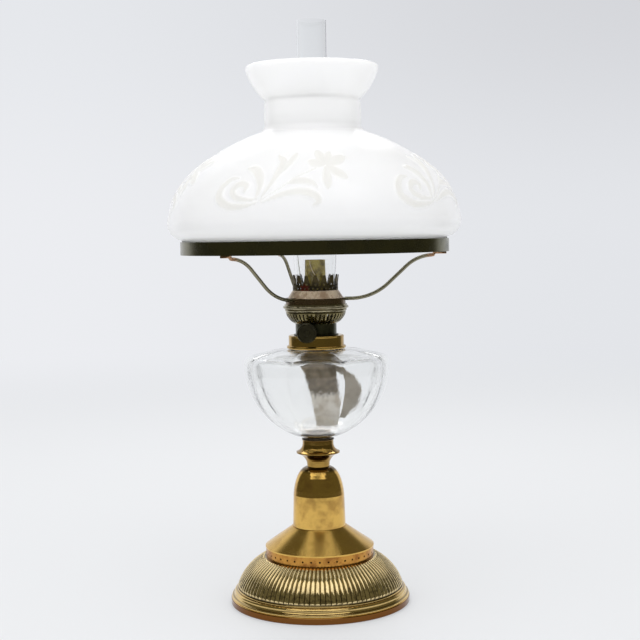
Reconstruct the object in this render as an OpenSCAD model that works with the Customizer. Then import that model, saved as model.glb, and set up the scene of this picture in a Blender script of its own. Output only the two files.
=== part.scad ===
// Kerosene table lamp: a brass foot with a gadrooned dome, a lobed glass font, a round-wick burner
// with a winder, a glass chimney, and an opal shade on a three-armed carrier.
// Millimetres, +Z up. The origin is on the table, under the middle of the foot.

/* [Foot] */
// Radius of the foot at the table
foot_r = 80.4; // [72:0.2:95]
// Height of the plain band at the table
foot_band_h = 5.4; // [3:0.1:9]
// Height of the round bead on the plain band
foot_bead_h = 2.6; // [1.6:0.1:4]
// Height of the ogee above the bead
foot_ogee_h = 4.6; // [3:0.1:8]
// Height of the thin ring under the dome
foot_ring_h = 1.8; // [1:0.1:3]
// Width of the mouldings, from the plain band in to the dome
foot_mould_w = 6.6; // [5:0.1:10]
// Width of the ledge inside the mouldings that carries the dome
foot_ledge_w = 7; // [4:0.5:12]
// Thickness of that ledge
foot_ledge_t = 3; // [2:0.2:5]
// Thickness of the plain band
foot_wall = 3; // [2:0.2:4]

/* [Gadrooned dome] */
// Height of the dome
dome_h = 26.8; // [20:0.2:36]
// How far the dome swells beyond a straight cone
dome_swell = 4; // [1:0.1:6]
// Thickness of the dome's sheet
dome_wall = 1.2; // [0.8:0.1:2]
// Number of gadroons
gadroon_count = 100; // [48:4:120]
// Height of a gadroon above its valleys
gadroon_depth = 0.9; // [0.3:0.1:1.6]
// Width of the flat ring on top of the dome
dome_flat_w = 10; // [6:0.5:20]

/* [Punched band and cone] */
// Outer radius of the punched band
band_r = 48.4; // [40:0.2:56]
// Height of the punched band
band_h = 8.4; // [5:0.2:14]
// Thickness of the punched band
band_wall = 1.2; // [0.8:0.1:2]
// Number of punched holes
band_holes = 40; // [20:1:60]
// Diameter of a punched hole
band_hole_d = 1.7; // [1:0.1:3]
// Height of the cone
cone_h = 18.4; // [12:0.2:28]
// Height of the cone's upright lip
cone_lip_h = 1.2; // [0.6:0.1:2.4]
// Thickness of the cone's sheet
cone_wall = 1.2; // [0.8:0.1:2]

/* [Stem] */
// Radius of the stem at its foot
stem_r = 23.7; // [18:0.1:30]
// Radius where the stem starts to round over
stem_upper_r = 23; // [17:0.1:29]
// Height of the stem's straight part
stem_straight_h = 24; // [10:0.5:40]
// Height of the stem's rounded top
stem_round_h = 29.4; // [16:0.2:40]
// Thickness of the stem's sheet
stem_wall = 1.2; // [0.8:0.1:2]

/* [Font cup and tie rod] */
// Radius of the cup's neck, on the stem
cup_neck_r = 10; // [8:0.1:13]
// Height of the flared neck up to the flange
cup_neck_h = 12.6; // [9:0.1:18]
// Radius of the cup's flange
cup_flange_r = 19.5; // [17:0.1:25]
// Thickness of the flange's edge
cup_flange_t = 1.2; // [0.8:0.1:2.5]
// Height of the cup above the flange
cup_top_h = 12.4; // [9:0.1:18]
// Thickness of the cup's wall round its socket
cup_socket_wall = 1.5; // [1:0.1:3]
// Radius of the glass stub in the cup
stub_r = 11.4; // [9:0.1:11.8]
// Depth of the cup's socket
socket_depth = 8; // [5:0.2:10]
// Thickness of the plaster between stub and socket
cup_plaster_t = 1; // [0.6:0.1:1.4]
// Radius of the tie rod
rod_r = 3; // [2:0.1:4]
// How far the tie rod screws into the cup
rod_grip = 10; // [6:0.5:12]
// How far the base weight laps under the ledge of the foot
weight_lap = 4.4; // [2:0.2:5]
// Thickness of the base weight
weight_t = 8; // [7.4:0.2:10]
// Radius of the washer on the tie rod
washer_r = 9; // [7:0.2:12]
// Thickness of the washer
washer_t = 1; // [0.6:0.1:1.4]
// Thickness of the nut
nut_t = 3.4; // [2.4:0.1:4]

/* [Glass font] */
// Largest radius of the font, on the crests of its lobes
font_r = 65; // [55:0.2:80]
// Height of the bowl from the cup to its widest level
font_bowl_h = 61; // [45:0.5:80]
// How far the bowl swells beyond a straight cone
font_swell = 11.4; // [6:0.2:16]
// Height of the upright part at the widest level
font_side_h = 5; // [2:0.2:12]
// Height of the rounded edge of the shoulder
font_edge_h = 9.5; // [6:0.2:14]
// Width of the rounded edge of the shoulder
font_edge_w = 8.5; // [5:0.2:14]
// Rise of the shoulder from its edge to the neck
font_shoulder_h = 5; // [2:0.2:10]
// Number of lobes
font_lobes = 8; // [6:1:16]
// Depth of the creases between lobes, as a share of the radius there
lobe_depth = 0.06; // [0.02:0.005:0.1]
// Dip of the creases on the font's shoulder
lobe_dip = 2.4; // [0:0.2:3]
// Turn of the creases about the axis
lobe_turn = 22.5; // [0:0.5:45]
// Thickness of the glass
font_wall = 3; // [2:0.2:4]
// Height of the font's inner floor above the cup
font_floor_h = 5.6; // [4:0.2:6]

/* [Collar] */
// Radius of the thread that takes the burner
thread_r = 18.4; // [17.6:0.1:21]
// Height of the collar
collar_h = 11.8; // [9:0.1:16]
// Thickness of the collar's sheet
collar_wall = 0.8; // [0.5:0.1:1.2]
// Thickness of the glass neck in the collar
neck_wall = 2.7; // [2:0.1:4.5]
// Gap that the plaster fills on each side of the glass neck
neck_plaster_t = 1; // [0.6:0.1:2]
// How far the collar's rolled foot stands out
collar_roll = 1.9; // [1:0.1:3]

/* [Burner] */
// Height of the screw cup above the collar
cup_rise = 10.4; // [9.6:0.1:16]
// Depth of the screw cup in the collar
cup_drop = 9; // [6:0.2:12]
// Thickness of the screw cup
cup_wall = 1; // [0.6:0.1:1.4]
// Height of the air basket
basket_h = 11; // [8:0.2:16]
// Radius of the air basket at its top
basket_r = 26.8; // [24:0.1:32]
// Thickness of the basket's sheet
basket_wall = 0.8; // [0.5:0.1:1.2]
// Number of slots in the basket
basket_slots = 44; // [24:2:60]
// Width of a basket slot
basket_slot_w = 1.6; // [0.8:0.1:2]
// Height of the moulded rim on the basket
rim_h = 6.4; // [4:0.2:10]
// How far the rim's flange stands out from the basket
rim_out = 2.5; // [1.5:0.1:4]
// Radius of the gallery's upright base
gallery_r = 25; // [23.4:0.1:26]
// Height of the gallery's upright base
gallery_base_h = 5; // [4:0.2:8]
// Height of the gallery's cone
gallery_cone_h = 7.2; // [5:0.2:12]
// Radius of the gallery's top, where the chimney stands
gallery_top_r = 20.9; // [19.6:0.1:23]
// Thickness of the gallery's sheet
gallery_wall = 0.8; // [0.5:0.1:1.2]
// Number of air holes in the chimney seat
seat_holes = 20; // [10:1:30]
// Diameter of an air hole in the chimney seat
seat_hole_d = 2.2; // [1:0.1:3]

/* [Crown] */
// Height of the crown on the gallery
crown_h = 13.6; // [10:0.2:18]
// Height of the crown's closed lower part
crown_base_h = 4.4; // [3:0.1:6]
// Number of prongs
crown_prongs = 16; // [10:1:20]
// How far the prongs flare out at their tips
crown_flare = 0.9; // [0.3:0.1:2]
// Thickness of the crown's sheet
crown_wall = 0.6; // [0.4:0.1:1]
// Diameter of the eye in each prong
crown_eye_d = 2.2; // [1:0.1:2.6]
// Diameter of the small holes round the foot of the crown
crown_hole_d = 1.8; // [0.8:0.1:2.2]

/* [Wick and tubes] */
// Outer radius of the wick
wick_r = 7.9; // [7:0.1:8.6]
// Thickness of the wick
wick_t = 2.2; // [1.4:0.1:2.8]
// Gap between the wick and the tubes
wick_clear = 0.4; // [0.3:0.05:0.8]
// Thickness of both tubes
tube_wall = 0.6; // [0.4:0.1:0.8]
// How much wider the wick tube is below than at its mouth
tube_taper = 0.7; // [0.3:0.1:0.8]
// Height of the wick tube's mouth above the chimney seat
tube_rise = 27; // [18:0.5:36]
// How far the wick lies below the mouth at rest
wick_low = 1.5; // [0.5:0.1:3]
// Width of the duct that brings air to the draught tube
duct_w = 6; // [4:0.2:7]
// Height of that duct
duct_h = 9; // [6:0.2:12]
// Width of the wick tails where they have opened out
tail_w = 30; // [20:0.5:31]
// Width of the wick tails at their ends
tail_end_w = 17; // [10:0.5:24]
// Height of the front wick tail's end above the font's floor
front_tail_end = 5; // [4:0.5:40]
// Height of the back wick tail's end above the font's floor
back_tail_end = 9; // [8:0.5:30]
// How far the front wick tail drifts sideways on its way down
front_tail_drift = 9; // [0:0.5:12]
// How far the back wick tail drifts sideways on its way down
back_tail_drift = 15.5; // [0:0.5:16]

/* [Winder] */
// Radius of the spindle
spindle_r = 1.5; // [1:0.05:1.6]
// Radial play of the spindle in its bushes
spindle_play = 0.06; // [0.02:0.01:0.1]
// Height of the spindle above the collar
spindle_rise = 3.6; // [3.4:0.1:5.2]
// Outer radius of the bushes
bush_r = 2.4; // [2:0.1:2.5]
// Length of a bush
bush_l = 4.6; // [3.6:0.2:6]
// Radius of the spur wheels at the tips of their teeth
spur_r = 3.6; // [3:0.1:4.2]
// Thickness of a spur wheel
spur_t = 1.8; // [1:0.1:2.4]
// Number of teeth on a spur wheel
spur_teeth = 14; // [8:1:20]
// Radius of the knob
knob_r = 8.8; // [6:0.1:10]
// Thickness of the knob's rim
knob_t = 2.8; // [2:0.1:4]
// Number of notches round the knob
knob_notches = 36; // [16:2:60]
// Turn of the winder about the burner's axis
winder_swing = 7; // [0:0.5:20]

/* [Chimney] */
// Length of the chimney
chimney_l = 237; // [180:1:300]
// Outer radius at the chimney's foot
chimney_foot_r = 17.3; // [15.5:0.1:18.6]
// Outer radius at the chimney's shoulder
chimney_bulge_r = 19; // [17:0.1:21]
// Height of the chimney's shoulder
chimney_bulge_h = 31; // [28:0.5:45]
// Height over which the shoulder draws in
chimney_waist_h = 12; // [8:0.5:20]
// Outer radius of the chimney's tube
chimney_tube_r = 13.2; // [11:0.1:15.5]
// Thickness of the chimney's glass
chimney_wall = 1.6; // [1:0.1:2]

/* [Shade carrier] */
// Thickness of the ring that sits on the burner
carrier_t = 1.4; // [1:0.1:2.4]
// Height of the ring that sits on the burner
carrier_h = 5.4; // [3.6:0.1:8]
// Height of the shade ring above the seat of the carrier
carrier_rise = 45.2; // [38:0.2:60]
// Angle of the first arm
arm_turn = 109; // [0:1:119]
// Radius of an arm's rod
arm_rod_r = 1.6; // [1.2:0.1:2]
// Depth of an arm's middle below the top of the ring on the burner
arm_drop = 0.8; // [0.4:0.1:2]
// Radius of the lower bend of an arm
arm_low_bend = 50; // [20:1:60]
// Radius of the upper bend of an arm
arm_high_bend = 35; // [20:1:50]
// Straight lead of an arm, from the ring on the burner to its lower bend
arm_lead = 5; // [1:0.5:10]
// Gap between the rod of an arm and the shade ring, before its flattened end
arm_sink = 1.4; // [0.2:0.1:3]
// Length of the flattened end of an arm
arm_pad_l = 10; // [6:0.5:16]
// Width of the flattened end of an arm
arm_pad_w = 6.4; // [4:0.2:10]
// Thickness of the flattened end of an arm
arm_pad_t = 2; // [1.2:0.1:2.4]
// Outer radius of the shade ring
ring_r = 119; // [100:0.5:150]
// Height of the shade ring
ring_h = 11.5; // [8:0.5:18]
// Thickness of the shade ring's sheet
ring_wall = 0.9; // [0.6:0.1:1.4]
// Width of the ledge that the shade stands on
ring_ledge_w = 8; // [5:0.5:12]

/* [Shade] */
// Gap between the shade's fitter and its ring
fitter_gap = 0.7; // [0.3:0.1:1.5]
// Height of the fitter, which stands in the ring
fitter_h = 12; // [8:0.5:18]
// How far the belly stands out from the fitter
belly_out = 12.6; // [6:0.2:20]
// Height from the fitter to the widest level
belly_h = 15.5; // [8:0.5:24]
// Height from the widest level to the turn of the shoulder
shoulder_h = 47; // [30:0.5:60]
// How far the shoulder comes in at that turn
shoulder_in = 26.6; // [15:0.2:40]
// Height from there to the neck
upper_h = 37; // [24:0.5:50]
// Outer radius of the shade's neck
shade_neck_r = 42.6; // [34:0.2:60]
// Height of the shade's neck, up to its crease
shade_neck_h = 22; // [12:0.5:30]
// How deep the crease cuts in above the neck
crease_in = 2.6; // [1:0.1:4]
// Height of the flared top
flare_h = 29.2; // [18:0.2:40]
// How far the flared top opens out
flare_out = 19.2; // [10:0.2:28]
// Thickness of the shade's glass
shade_wall = 3.6; // [2.4:0.1:4.5]

/* [Hidden] */
$fn = 96;
// Gap between pieces that are cemented or soldered together
joint_gap = 0.05;
// Gap between round pieces that lift apart
loose_gap = 0.3;
// Radial play of the burner's thread
thread_play = 0.1;
// Extra length of a cutting body past the piece that it cuts
cut_past = 1;
// Break on turned edges
edge = 0.4;
// Turns of the winder below and above its rest, in degrees
wind_down = 40;
wind_up = 140;
// Number of arms, one node each
arm_count = 3;

// Heights, stacked from the table up
rim_z = foot_band_h + foot_bead_h + foot_ogee_h + foot_ring_h;
band_z = rim_z + dome_h;
cone_z = band_z + band_h;
stem_z = cone_z + cone_h;
cup_z = stem_z + stem_straight_h + stem_round_h;
font_z = cup_z + cup_neck_h + cup_flange_t + cup_top_h;
font_floor_z = font_z + font_floor_h;
font_side_z = font_z + font_bowl_h;
font_edge_z = font_side_z + font_side_h;
shoulder_z = font_edge_z + font_edge_h;
neck_z = shoulder_z + font_shoulder_h;
collar_z = neck_z + collar_h;
basket_z = collar_z + cup_rise;
rim_seat_z = basket_z + basket_h;
carrier_z = rim_seat_z + rim_h;
seat_z = carrier_z + gallery_base_h + gallery_cone_h;
tube_mouth_z = seat_z + tube_rise;
ring_z = carrier_z + carrier_rise;
shade_z = ring_z + ring_wall;
spindle_z = collar_z + spindle_rise;

// Radii that follow from the sizes above
dome_r = foot_r - foot_mould_w;
dome_top_r = band_r + 1;
ledge_r = dome_r - foot_ledge_w;
rod_hole_r = rod_r + loose_gap;
weight_r = ledge_r + weight_lap;
socket_r = stub_r + cup_plaster_t;
cup_waist_r = socket_r + cup_socket_wall;
sleeve_r = thread_r + collar_wall;
neck_in_r = sleeve_r + neck_plaster_t;
neck_r = neck_in_r + neck_wall;
collar_r = neck_r + neck_plaster_t + collar_wall;
cup_r = thread_r - thread_play;
tube_mouth_r = wick_r + wick_clear + tube_wall;
tube_r = tube_mouth_r + tube_taper;
draught_r = wick_r - wick_t - wick_clear;
tube_foot_z = spindle_z - spur_r - 4;
// How far the winder moves the wick from its rest
wick_down = spur_r * PI * wind_down / 180;
wick_up = spur_r * PI * wind_up / 180;
// The sleeve reaches so far down that its tails stay out of the tube when the wick is wound up
wick_foot_z = tube_foot_z - wick_up - 1;
duct_z = basket_z + 2;
spindle_off = wick_r + loose_gap + spur_r;
carrier_in_r = gallery_r + loose_gap;
carrier_r = carrier_in_r + carrier_t;
ring_in_r = ring_r - ring_wall;
fitter_r = ring_in_r - fitter_gap;
arm_z = carrier_z + carrier_h - arm_drop;

brass = "#c49a3a";
copper_brass = "#b8753a";
dark_bronze = "#4a3d2a";
olive_steel = "#5f5c48";
clear_glass = [0.85, 0.9, 0.9, 0.35];
opal_glass = "#f3f1ea";

// Curves and walls

function unit(v) = v / norm(v);
function left_of(v) = [-v[1], v[0]];
function backwards(list) = [for (i = [len(list) - 1:-1:0]) list[i]];
function ease(t) = t * t * (3 - 2 * t);

// Arc from a to b that swells to the right of the way from a to b
function bulge(a, b, rise, n = 8) =
    let (along = unit(b - a), side = -left_of(along), half = norm(b - a) / 2)
    let (r = (half * half + rise * rise) / (2 * rise), sweep = 4 * atan(rise / half))
    let (centre = (a + b) / 2 + side * (rise - r))
    [for (i = [0:n]) let (t = sweep * (i / n - 0.5)) centre + r * (side * cos(t) + along * sin(t))];

// Quarter of an oval from [a, 0] to [0, b] about its centre
function quarter_oval(centre, a, b, n = 10) =
    [for (i = [0:n]) centre + [a * cos(90 * i / n), b * sin(90 * i / n)]];

// A path moved d to its left
function beside(path, d) =
    let (last = len(path) - 1)
    [for (i = [0:last])
        let (before = unit(path[max(i, 1)] - path[max(i, 1) - 1]))
        let (after = unit(path[min(i + 1, last)] - path[min(i + 1, last) - 1]))
        let (away = left_of(unit(before + after)))
        path[i] + away * d / (away * left_of(before))];

// A path without points that repeat
function tidy(path) =
    [for (i = [0:len(path) - 1]) if (i == 0 || norm(path[i] - path[max(i, 1) - 1]) > 0.01) path[i]];

// Outline of a sheet whose outer face follows a path, with the wall on the path's left
function sheet(path, wall) =
    let (outer = tidy(path))
    concat(outer, backwards(beside(outer, wall)));

module turned(outline) {
    rotate_extrude() polygon(tidy(outline));
}

// Solid through rows of points that run anticlockwise seen from above, from the first row up.
// A looped solid joins its last row to its first, and any other gets flat ends.
module skin(rows, looped = false) {
    n = len(rows[0]);
    last = len(rows) - 1;
    sides = [
        for (i = [0:looped ? last : last - 1], j = [0:n - 1])
            let (up = (i + 1) % (last + 1), next = (j + 1) % n)
            let (a = i * n + j, b = up * n + j, c = up * n + next, d = i * n + next)
            each [[a, b, c], [a, c, d]]
    ];
    ends = looped ? [] : [[for (j = [0:n - 1]) j], [for (j = [n - 1:-1:0]) last * n + j]];
    polyhedron([for (row = rows) each row], concat(sides, ends));
}

// Row of points round the axis, through outline points that repeat in turn
function round_row(points, copies, turn = 0) =
    let (m = len(points), n = m * copies)
    [for (j = [0:n - 1])
        let (p = points[j % m], a = turn + 360 * j / n)
        [p[0] * cos(a), p[0] * sin(a), p[1]]];

module around(copies, turn = 0) {
    for (i = [0:copies - 1]) rotate(turn + 360 * i / copies) children();
}

// Foot

module foot_rim() {
    bead_z = foot_band_h;
    ogee_z = bead_z + foot_bead_h;
    cove_z = ogee_z + foot_ogee_h * 0.44;
    ring_base_z = ogee_z + foot_ogee_h;
    bead_r = foot_r - 3 * edge;
    cove_r = foot_r - foot_mould_w / 2;
    ring_out_r = dome_r + 2 * edge;
    color(brass) turned(concat(
        [[foot_r - edge, 0], [foot_r, edge], [foot_r, bead_z - edge], [foot_r - edge, bead_z]],
        bulge([bead_r, bead_z + edge], [bead_r - edge / 2, ogee_z - edge / 2], 0.6),
        bulge([bead_r - 2 * edge, ogee_z], [cove_r - edge / 2, cove_z - edge / 4], -edge),
        bulge([cove_r + edge / 2, cove_z], [ring_out_r + 2 * edge, ring_base_z - edge / 2], 0.7),
        bulge([ring_out_r, ring_base_z], [ring_out_r - edge / 2, rim_z], edge),
        [
            [ledge_r, rim_z], [ledge_r, rim_z - foot_ledge_t], [dome_r - edge, rim_z - foot_ledge_t],
            [foot_r - foot_wall, foot_band_h], [foot_r - foot_wall, 0]
        ]
    ));
}

// The ribbed outer face runs up, turns in over the flat top and comes back down inside
module gadrooned_dome() {
    curve = bulge([dome_r, rim_z], [dome_top_r, band_z], dome_swell, 8);
    inside = beside(bulge([dome_r, rim_z], [dome_top_r, band_z - dome_wall], dome_swell, 3), dome_wall);
    crest = beside(curve, -gadroon_depth);
    flat_r = dome_top_r - dome_flat_w;
    foot_in = [dome_r - dome_wall, rim_z];
    outer_rows = [
        for (i = [0:len(curve) - 1])
            let (fade = i == 0 || i == len(curve) - 1 ? 0 : 1)
            [curve[i], curve[i] + fade * (crest[i] - curve[i])]
    ];
    plain_points = concat(
        [[flat_r, band_z], [flat_r, band_z - dome_wall], [inside[3][0], band_z - dome_wall]],
        [inside[2], inside[1], foot_in]
    );
    rows = concat(outer_rows, [for (p = plain_points) [p, p]]);
    color(brass) skin([for (row = rows) round_row(row, gadroon_count)], looped = true);
}

module punched_band() {
    color(copper_brass) difference() {
        turned([
            [band_r, band_z], [band_r, cone_z], [band_r - band_wall, cone_z], [band_r - band_wall, band_z]
        ]);
        around(band_holes) translate([band_r - band_wall - cut_past, 0, band_z + band_h / 2])
            rotate([0, 90, 0]) cylinder(d = band_hole_d, h = band_wall + 2 * cut_past);
    }
}

module cone_shoulder() {
    lip_r = band_r + edge;
    path = [
        [lip_r, cone_z], [lip_r, cone_z + cone_lip_h], [stem_r + 3 * edge, stem_z - edge],
        [stem_r + 2 * edge, stem_z], [cup_neck_r, stem_z]
    ];
    color(brass) turned(sheet(path, cone_wall));
}

module domed_stem() {
    round_z = stem_z + stem_straight_h;
    path = concat(
        [[stem_r, stem_z], [stem_r, stem_z + edge]],
        quarter_oval([cup_neck_r, round_z], stem_upper_r - cup_neck_r, stem_round_h),
        [[rod_hole_r, cup_z]]
    );
    color(brass) turned(sheet(path, stem_wall));
}

module font_cup() {
    flange_z = cup_z + cup_neck_h;
    flange_top_z = flange_z + cup_flange_t;
    bore_r = rod_r + joint_gap;
    neck_bend = [cup_neck_r + edge, cup_z + cup_neck_h / 3];
    waist_foot = [cup_waist_r, flange_top_z + cup_top_h * 0.55];
    bead_h = 2.2;
    color(brass) turned(concat(
        [[bore_r, cup_z], [cup_neck_r, cup_z]],
        bulge(neck_bend, [cup_flange_r - 2 * edge, flange_z - edge], -1.4),
        [[cup_flange_r, flange_z], [cup_flange_r, flange_top_z]],
        bulge([cup_flange_r - 2 * edge, flange_top_z + edge], waist_foot, -1.2),
        bulge([cup_waist_r, font_z - bead_h], [cup_waist_r, font_z], 0.7),
        [[socket_r, font_z], [socket_r, font_z - socket_depth], [bore_r, font_z - socket_depth]]
    ));
}

// Tie rod, which draws the weight, the foot and the stem up to the cup

weight_foot_z = rim_z - foot_ledge_t - weight_t;
// Roof of the pocket that holds the nut and the washer
pocket_z = weight_foot_z + nut_t + washer_t + 1;

module tie_rod() {
    foot_z = weight_foot_z + edge;
    color("#8d8d88") translate([0, 0, foot_z]) cylinder(r = rod_r, h = cup_z + rod_grip - foot_z);
}

module tie_nut() {
    nut_r = 1.9 * rod_r;
    color("#8d8d88") translate([0, 0, pocket_z - washer_t - nut_t]) difference() {
        cylinder(r = nut_r, h = nut_t, $fn = 6);
        translate([0, 0, -cut_past]) cylinder(r = rod_r + joint_gap, h = nut_t + 2 * cut_past);
    }
}

module tie_washer() {
    color("#9a9a94") translate([0, 0, pocket_z - washer_t]) difference() {
        cylinder(r = washer_r, h = washer_t);
        translate([0, 0, -cut_past]) cylinder(r = rod_hole_r, h = washer_t + 2 * cut_past);
    }
}

module base_weight() {
    top_z = weight_foot_z + weight_t;
    pocket_r = washer_r + 2 * edge;
    color("#3c3c3a") turned([
        [pocket_r, weight_foot_z], [weight_r, weight_foot_z], [weight_r, top_z],
        [rod_hole_r, top_z], [rod_hole_r, pocket_z], [pocket_r, pocket_z]
    ]);
}

// Font

// Outline points across half a lobe and back, for one level of the font
lobe_points = 10;

// One level: radius, height, and its shares of the crease depth and of the crease dip
function lobe_row(level) =
    let (points = [
        for (j = [0:lobe_points - 1])
            let (across = 2 * j / lobe_points - 1, crease = across * across)
            [level[0] * (1 - level[2] * lobe_depth * crease), level[1] - level[3] * lobe_dip * crease]
    ])
    round_row(points, font_lobes, lobe_turn);

// A path of the font with its shares of the crease depth and dip, each from one value to another
function lobed(path, depth, dip = [0, 0]) =
    let (last = len(path) - 1)
    [for (i = [0:last])
        let (t = ease(i / last))
        [path[i][0], path[i][1], depth[0] + (depth[1] - depth[0]) * t, dip[0] + (dip[1] - dip[0]) * t]];

// Foot of the neck on the font's shoulder, just outside the collar's roll
neck_foot = [collar_r + collar_roll + edge, neck_z - 2 * edge];

module glass_font() {
    stub_z = font_z - socket_depth + cup_plaster_t;
    bowl_foot = [cup_waist_r + 2, font_z + 2 * edge];
    edge_r = font_r - font_edge_w;
    bowl = bulge(bowl_foot, [font_r, font_side_z], font_swell, 7);
    corner = bulge([font_r, font_edge_z], [edge_r, shoulder_z], 2.6, 3);
    shoulder = [[(edge_r + neck_foot[0]) / 2, shoulder_z + font_shoulder_h * 0.6], neck_foot];
    inner_bowl = beside(bowl, font_wall);
    inner_corner = beside(corner, font_wall);
    wall_down = [0, -font_wall];
    outer = concat(
        lobed([[stub_r, stub_z], [stub_r, font_z + edge]], [0, 0]),
        lobed(bowl, [0.1, 1]), lobed(corner, [1, 1], [0, 1]), lobed(shoulder, [0.6, 0], [0.6, 0]),
        [[neck_r, neck_foot[1], 0, 0]]
    );
    inner = concat(
        lobed([[neck_in_r, neck_foot[1]], [neck_in_r, neck_foot[1] - font_wall]], [0, 0]),
        lobed([neck_foot + wall_down, shoulder[0] + wall_down], [0, 0.6], [0, 0.6]),
        lobed([inner_corner[2], inner_corner[0]], [1, 1], [0.7, 0]),
        lobed([for (i = [7, 5, 3, 1]) inner_bowl[i]], [1, 0.2]),
        lobed([[stub_r, font_floor_z], [stub_r / 2, font_floor_z]], [0, 0])
    );
    color(clear_glass) skin([for (level = concat(outer, inner)) lobe_row(level)]);
}

// Neck of the font, one glass with it
module font_neck() {
    top_z = collar_z - collar_wall - neck_plaster_t;
    color(clear_glass) turned([
        [neck_in_r, neck_foot[1]], [neck_r, neck_foot[1]], [neck_r, top_z], [neck_in_r, top_z]
    ]);
}

module cup_plaster() {
    floor_z = font_z - socket_depth;
    top_z = font_z - edge;
    color("#d8d2c2") turned([
        [0, floor_z], [socket_r - joint_gap, floor_z], [socket_r - joint_gap, top_z],
        [stub_r + joint_gap, top_z], [stub_r + joint_gap, floor_z + cup_plaster_t],
        [0, floor_z + cup_plaster_t]
    ]);
}

// Collar with its rolled foot outside and its threaded sleeve inside
module font_collar() {
    roll_h = 2.8;
    lip_h = 1.6;
    sleeve_z = collar_z - collar_wall - cup_drop;
    color(dark_bronze) turned(concat(
        bulge([collar_r - edge / 2, neck_z], [collar_r, neck_z + roll_h], collar_roll),
        bulge([collar_r, collar_z - lip_h], [collar_r - 2 * edge, collar_z], edge, 4),
        [
            [thread_r, collar_z], [thread_r, sleeve_z], [sleeve_r, sleeve_z],
            [sleeve_r, collar_z - collar_wall], [collar_r - collar_wall, collar_z - collar_wall],
            [collar_r - collar_wall, neck_z]
        ]
    ));
}

module collar_plaster() {
    top_z = collar_z - collar_wall;
    neck_top_z = top_z - neck_plaster_t;
    foot_z = neck_z + edge;
    color("#d8d2c2") turned([
        [neck_r + joint_gap, foot_z], [collar_r - collar_wall - joint_gap, foot_z],
        [collar_r - collar_wall - joint_gap, top_z], [sleeve_r + joint_gap, top_z],
        [sleeve_r + joint_gap, foot_z], [neck_in_r - joint_gap, foot_z],
        [neck_in_r - joint_gap, neck_top_z], [neck_r + joint_gap, neck_top_z]
    ]);
}

// Burner

// Places its children on the spindle's axis, with +Z pointing out to the knob
module on_spindle() {
    rotate(winder_swing) translate([-spindle_off, 0, spindle_z]) rotate([90, 0, 0]) children();
}

// Half the length of the spindle's chord at a given radius
function chord(r) = sqrt(r * r - spindle_off * spindle_off);
bush_mid = (chord(cup_r) + chord(cup_r - cup_wall)) / 2;

module screw_cup() {
    seat_r = cup_r + 4 * edge;
    seat_t = 2 * edge;
    foot_z = collar_z - cup_drop;
    color(dark_bronze) difference() {
        turned([
            [cup_r, foot_z], [cup_r, collar_z], [seat_r, collar_z], [seat_r, collar_z + seat_t],
            [cup_r, collar_z + seat_t], [cup_r, basket_z], [tube_r + joint_gap, basket_z],
            [tube_r + joint_gap, basket_z - cup_wall], [cup_r - cup_wall, basket_z - cup_wall],
            [cup_r - cup_wall, foot_z]
        ]);
        on_spindle() translate([0, 0, -cup_r]) cylinder(r = bush_r + joint_gap, h = 2 * cup_r);
    }
}

module spindle_bushes() {
    bore_r = spindle_r + spindle_play;
    color(brass) on_spindle() {
        translate([0, 0, bush_mid - bush_l / 2]) difference() {
            cylinder(r = bush_r, h = bush_l);
            translate([0, 0, -cut_past]) cylinder(r = bore_r, h = bush_l + 2 * cut_past);
        }
        translate([0, 0, -bush_mid - bush_l / 2]) difference() {
            cylinder(r = bush_r, h = bush_l);
            translate([0, 0, 1]) cylinder(r = bore_r, h = bush_l);
        }
    }
}

module air_basket() {
    foot_in_r = cup_r - 4;
    foot_h = 1.8;
    lip_h = 1.4;
    slot_h = basket_h - foot_h - lip_h - edge;
    path = concat(
        [[foot_in_r, basket_z]],
        bulge([cup_r + edge, basket_z], [basket_r, rim_seat_z - lip_h], 1.3, 6),
        [[basket_r, rim_seat_z]]
    );
    color(dark_bronze) difference() {
        turned(sheet(path, basket_wall));
        around(basket_slots) translate([cup_r, -basket_slot_w / 2, basket_z + foot_h])
            cube([basket_r, basket_slot_w, slot_h]);
    }
}

// Two beads, the upper one standing out as a flange, under a plain seat for the carrier
module basket_rim() {
    seat_r = carrier_r + 3 * edge;
    flange_r = basket_r + rim_out;
    in_r = gallery_r - 2;
    bead_z = rim_seat_z + rim_h * 0.42;
    flange_z = rim_seat_z + rim_h * 0.76;
    color(dark_bronze) turned(concat(
        bulge([basket_r, rim_seat_z], [basket_r + edge, bead_z - edge / 2], 0.7, 5),
        bulge([flange_r - 0.6, bead_z], [flange_r - 0.6, flange_z], 0.6, 5),
        [
            [seat_r, flange_z + edge], [seat_r, carrier_z], [in_r, carrier_z],
            [in_r, rim_seat_z + 2 * edge], [basket_r - 2 * basket_wall, rim_seat_z]
        ]
    ));
}

module gallery() {
    corner = 0.6;
    path = [
        [gallery_r, carrier_z], [gallery_r, carrier_z + gallery_base_h], [gallery_top_r, seat_z - corner],
        [gallery_top_r - corner, seat_z], [tube_r + loose_gap, seat_z]
    ];
    hole_row_r = (tube_r + chimney_foot_r - chimney_wall) / 2;
    color("#b58a55") difference() {
        turned(sheet(path, gallery_wall));
        around(seat_holes) translate([hole_row_r, 0, seat_z - gallery_wall - cut_past])
            cylinder(d = seat_hole_d, h = gallery_wall + 2 * cut_past);
    }
}

// Outline of the gap between two prongs, across and up
function prong_gap(pitch) =
    let (foot_w = pitch * 0.12, top_w = pitch * 0.4, top = crown_h + cut_past, waist = crown_base_h + 2)
    [
        [foot_w, crown_base_h], [foot_w, waist], [top_w, top],
        [-top_w, top], [-foot_w, waist], [-foot_w, crown_base_h]
    ];

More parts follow.
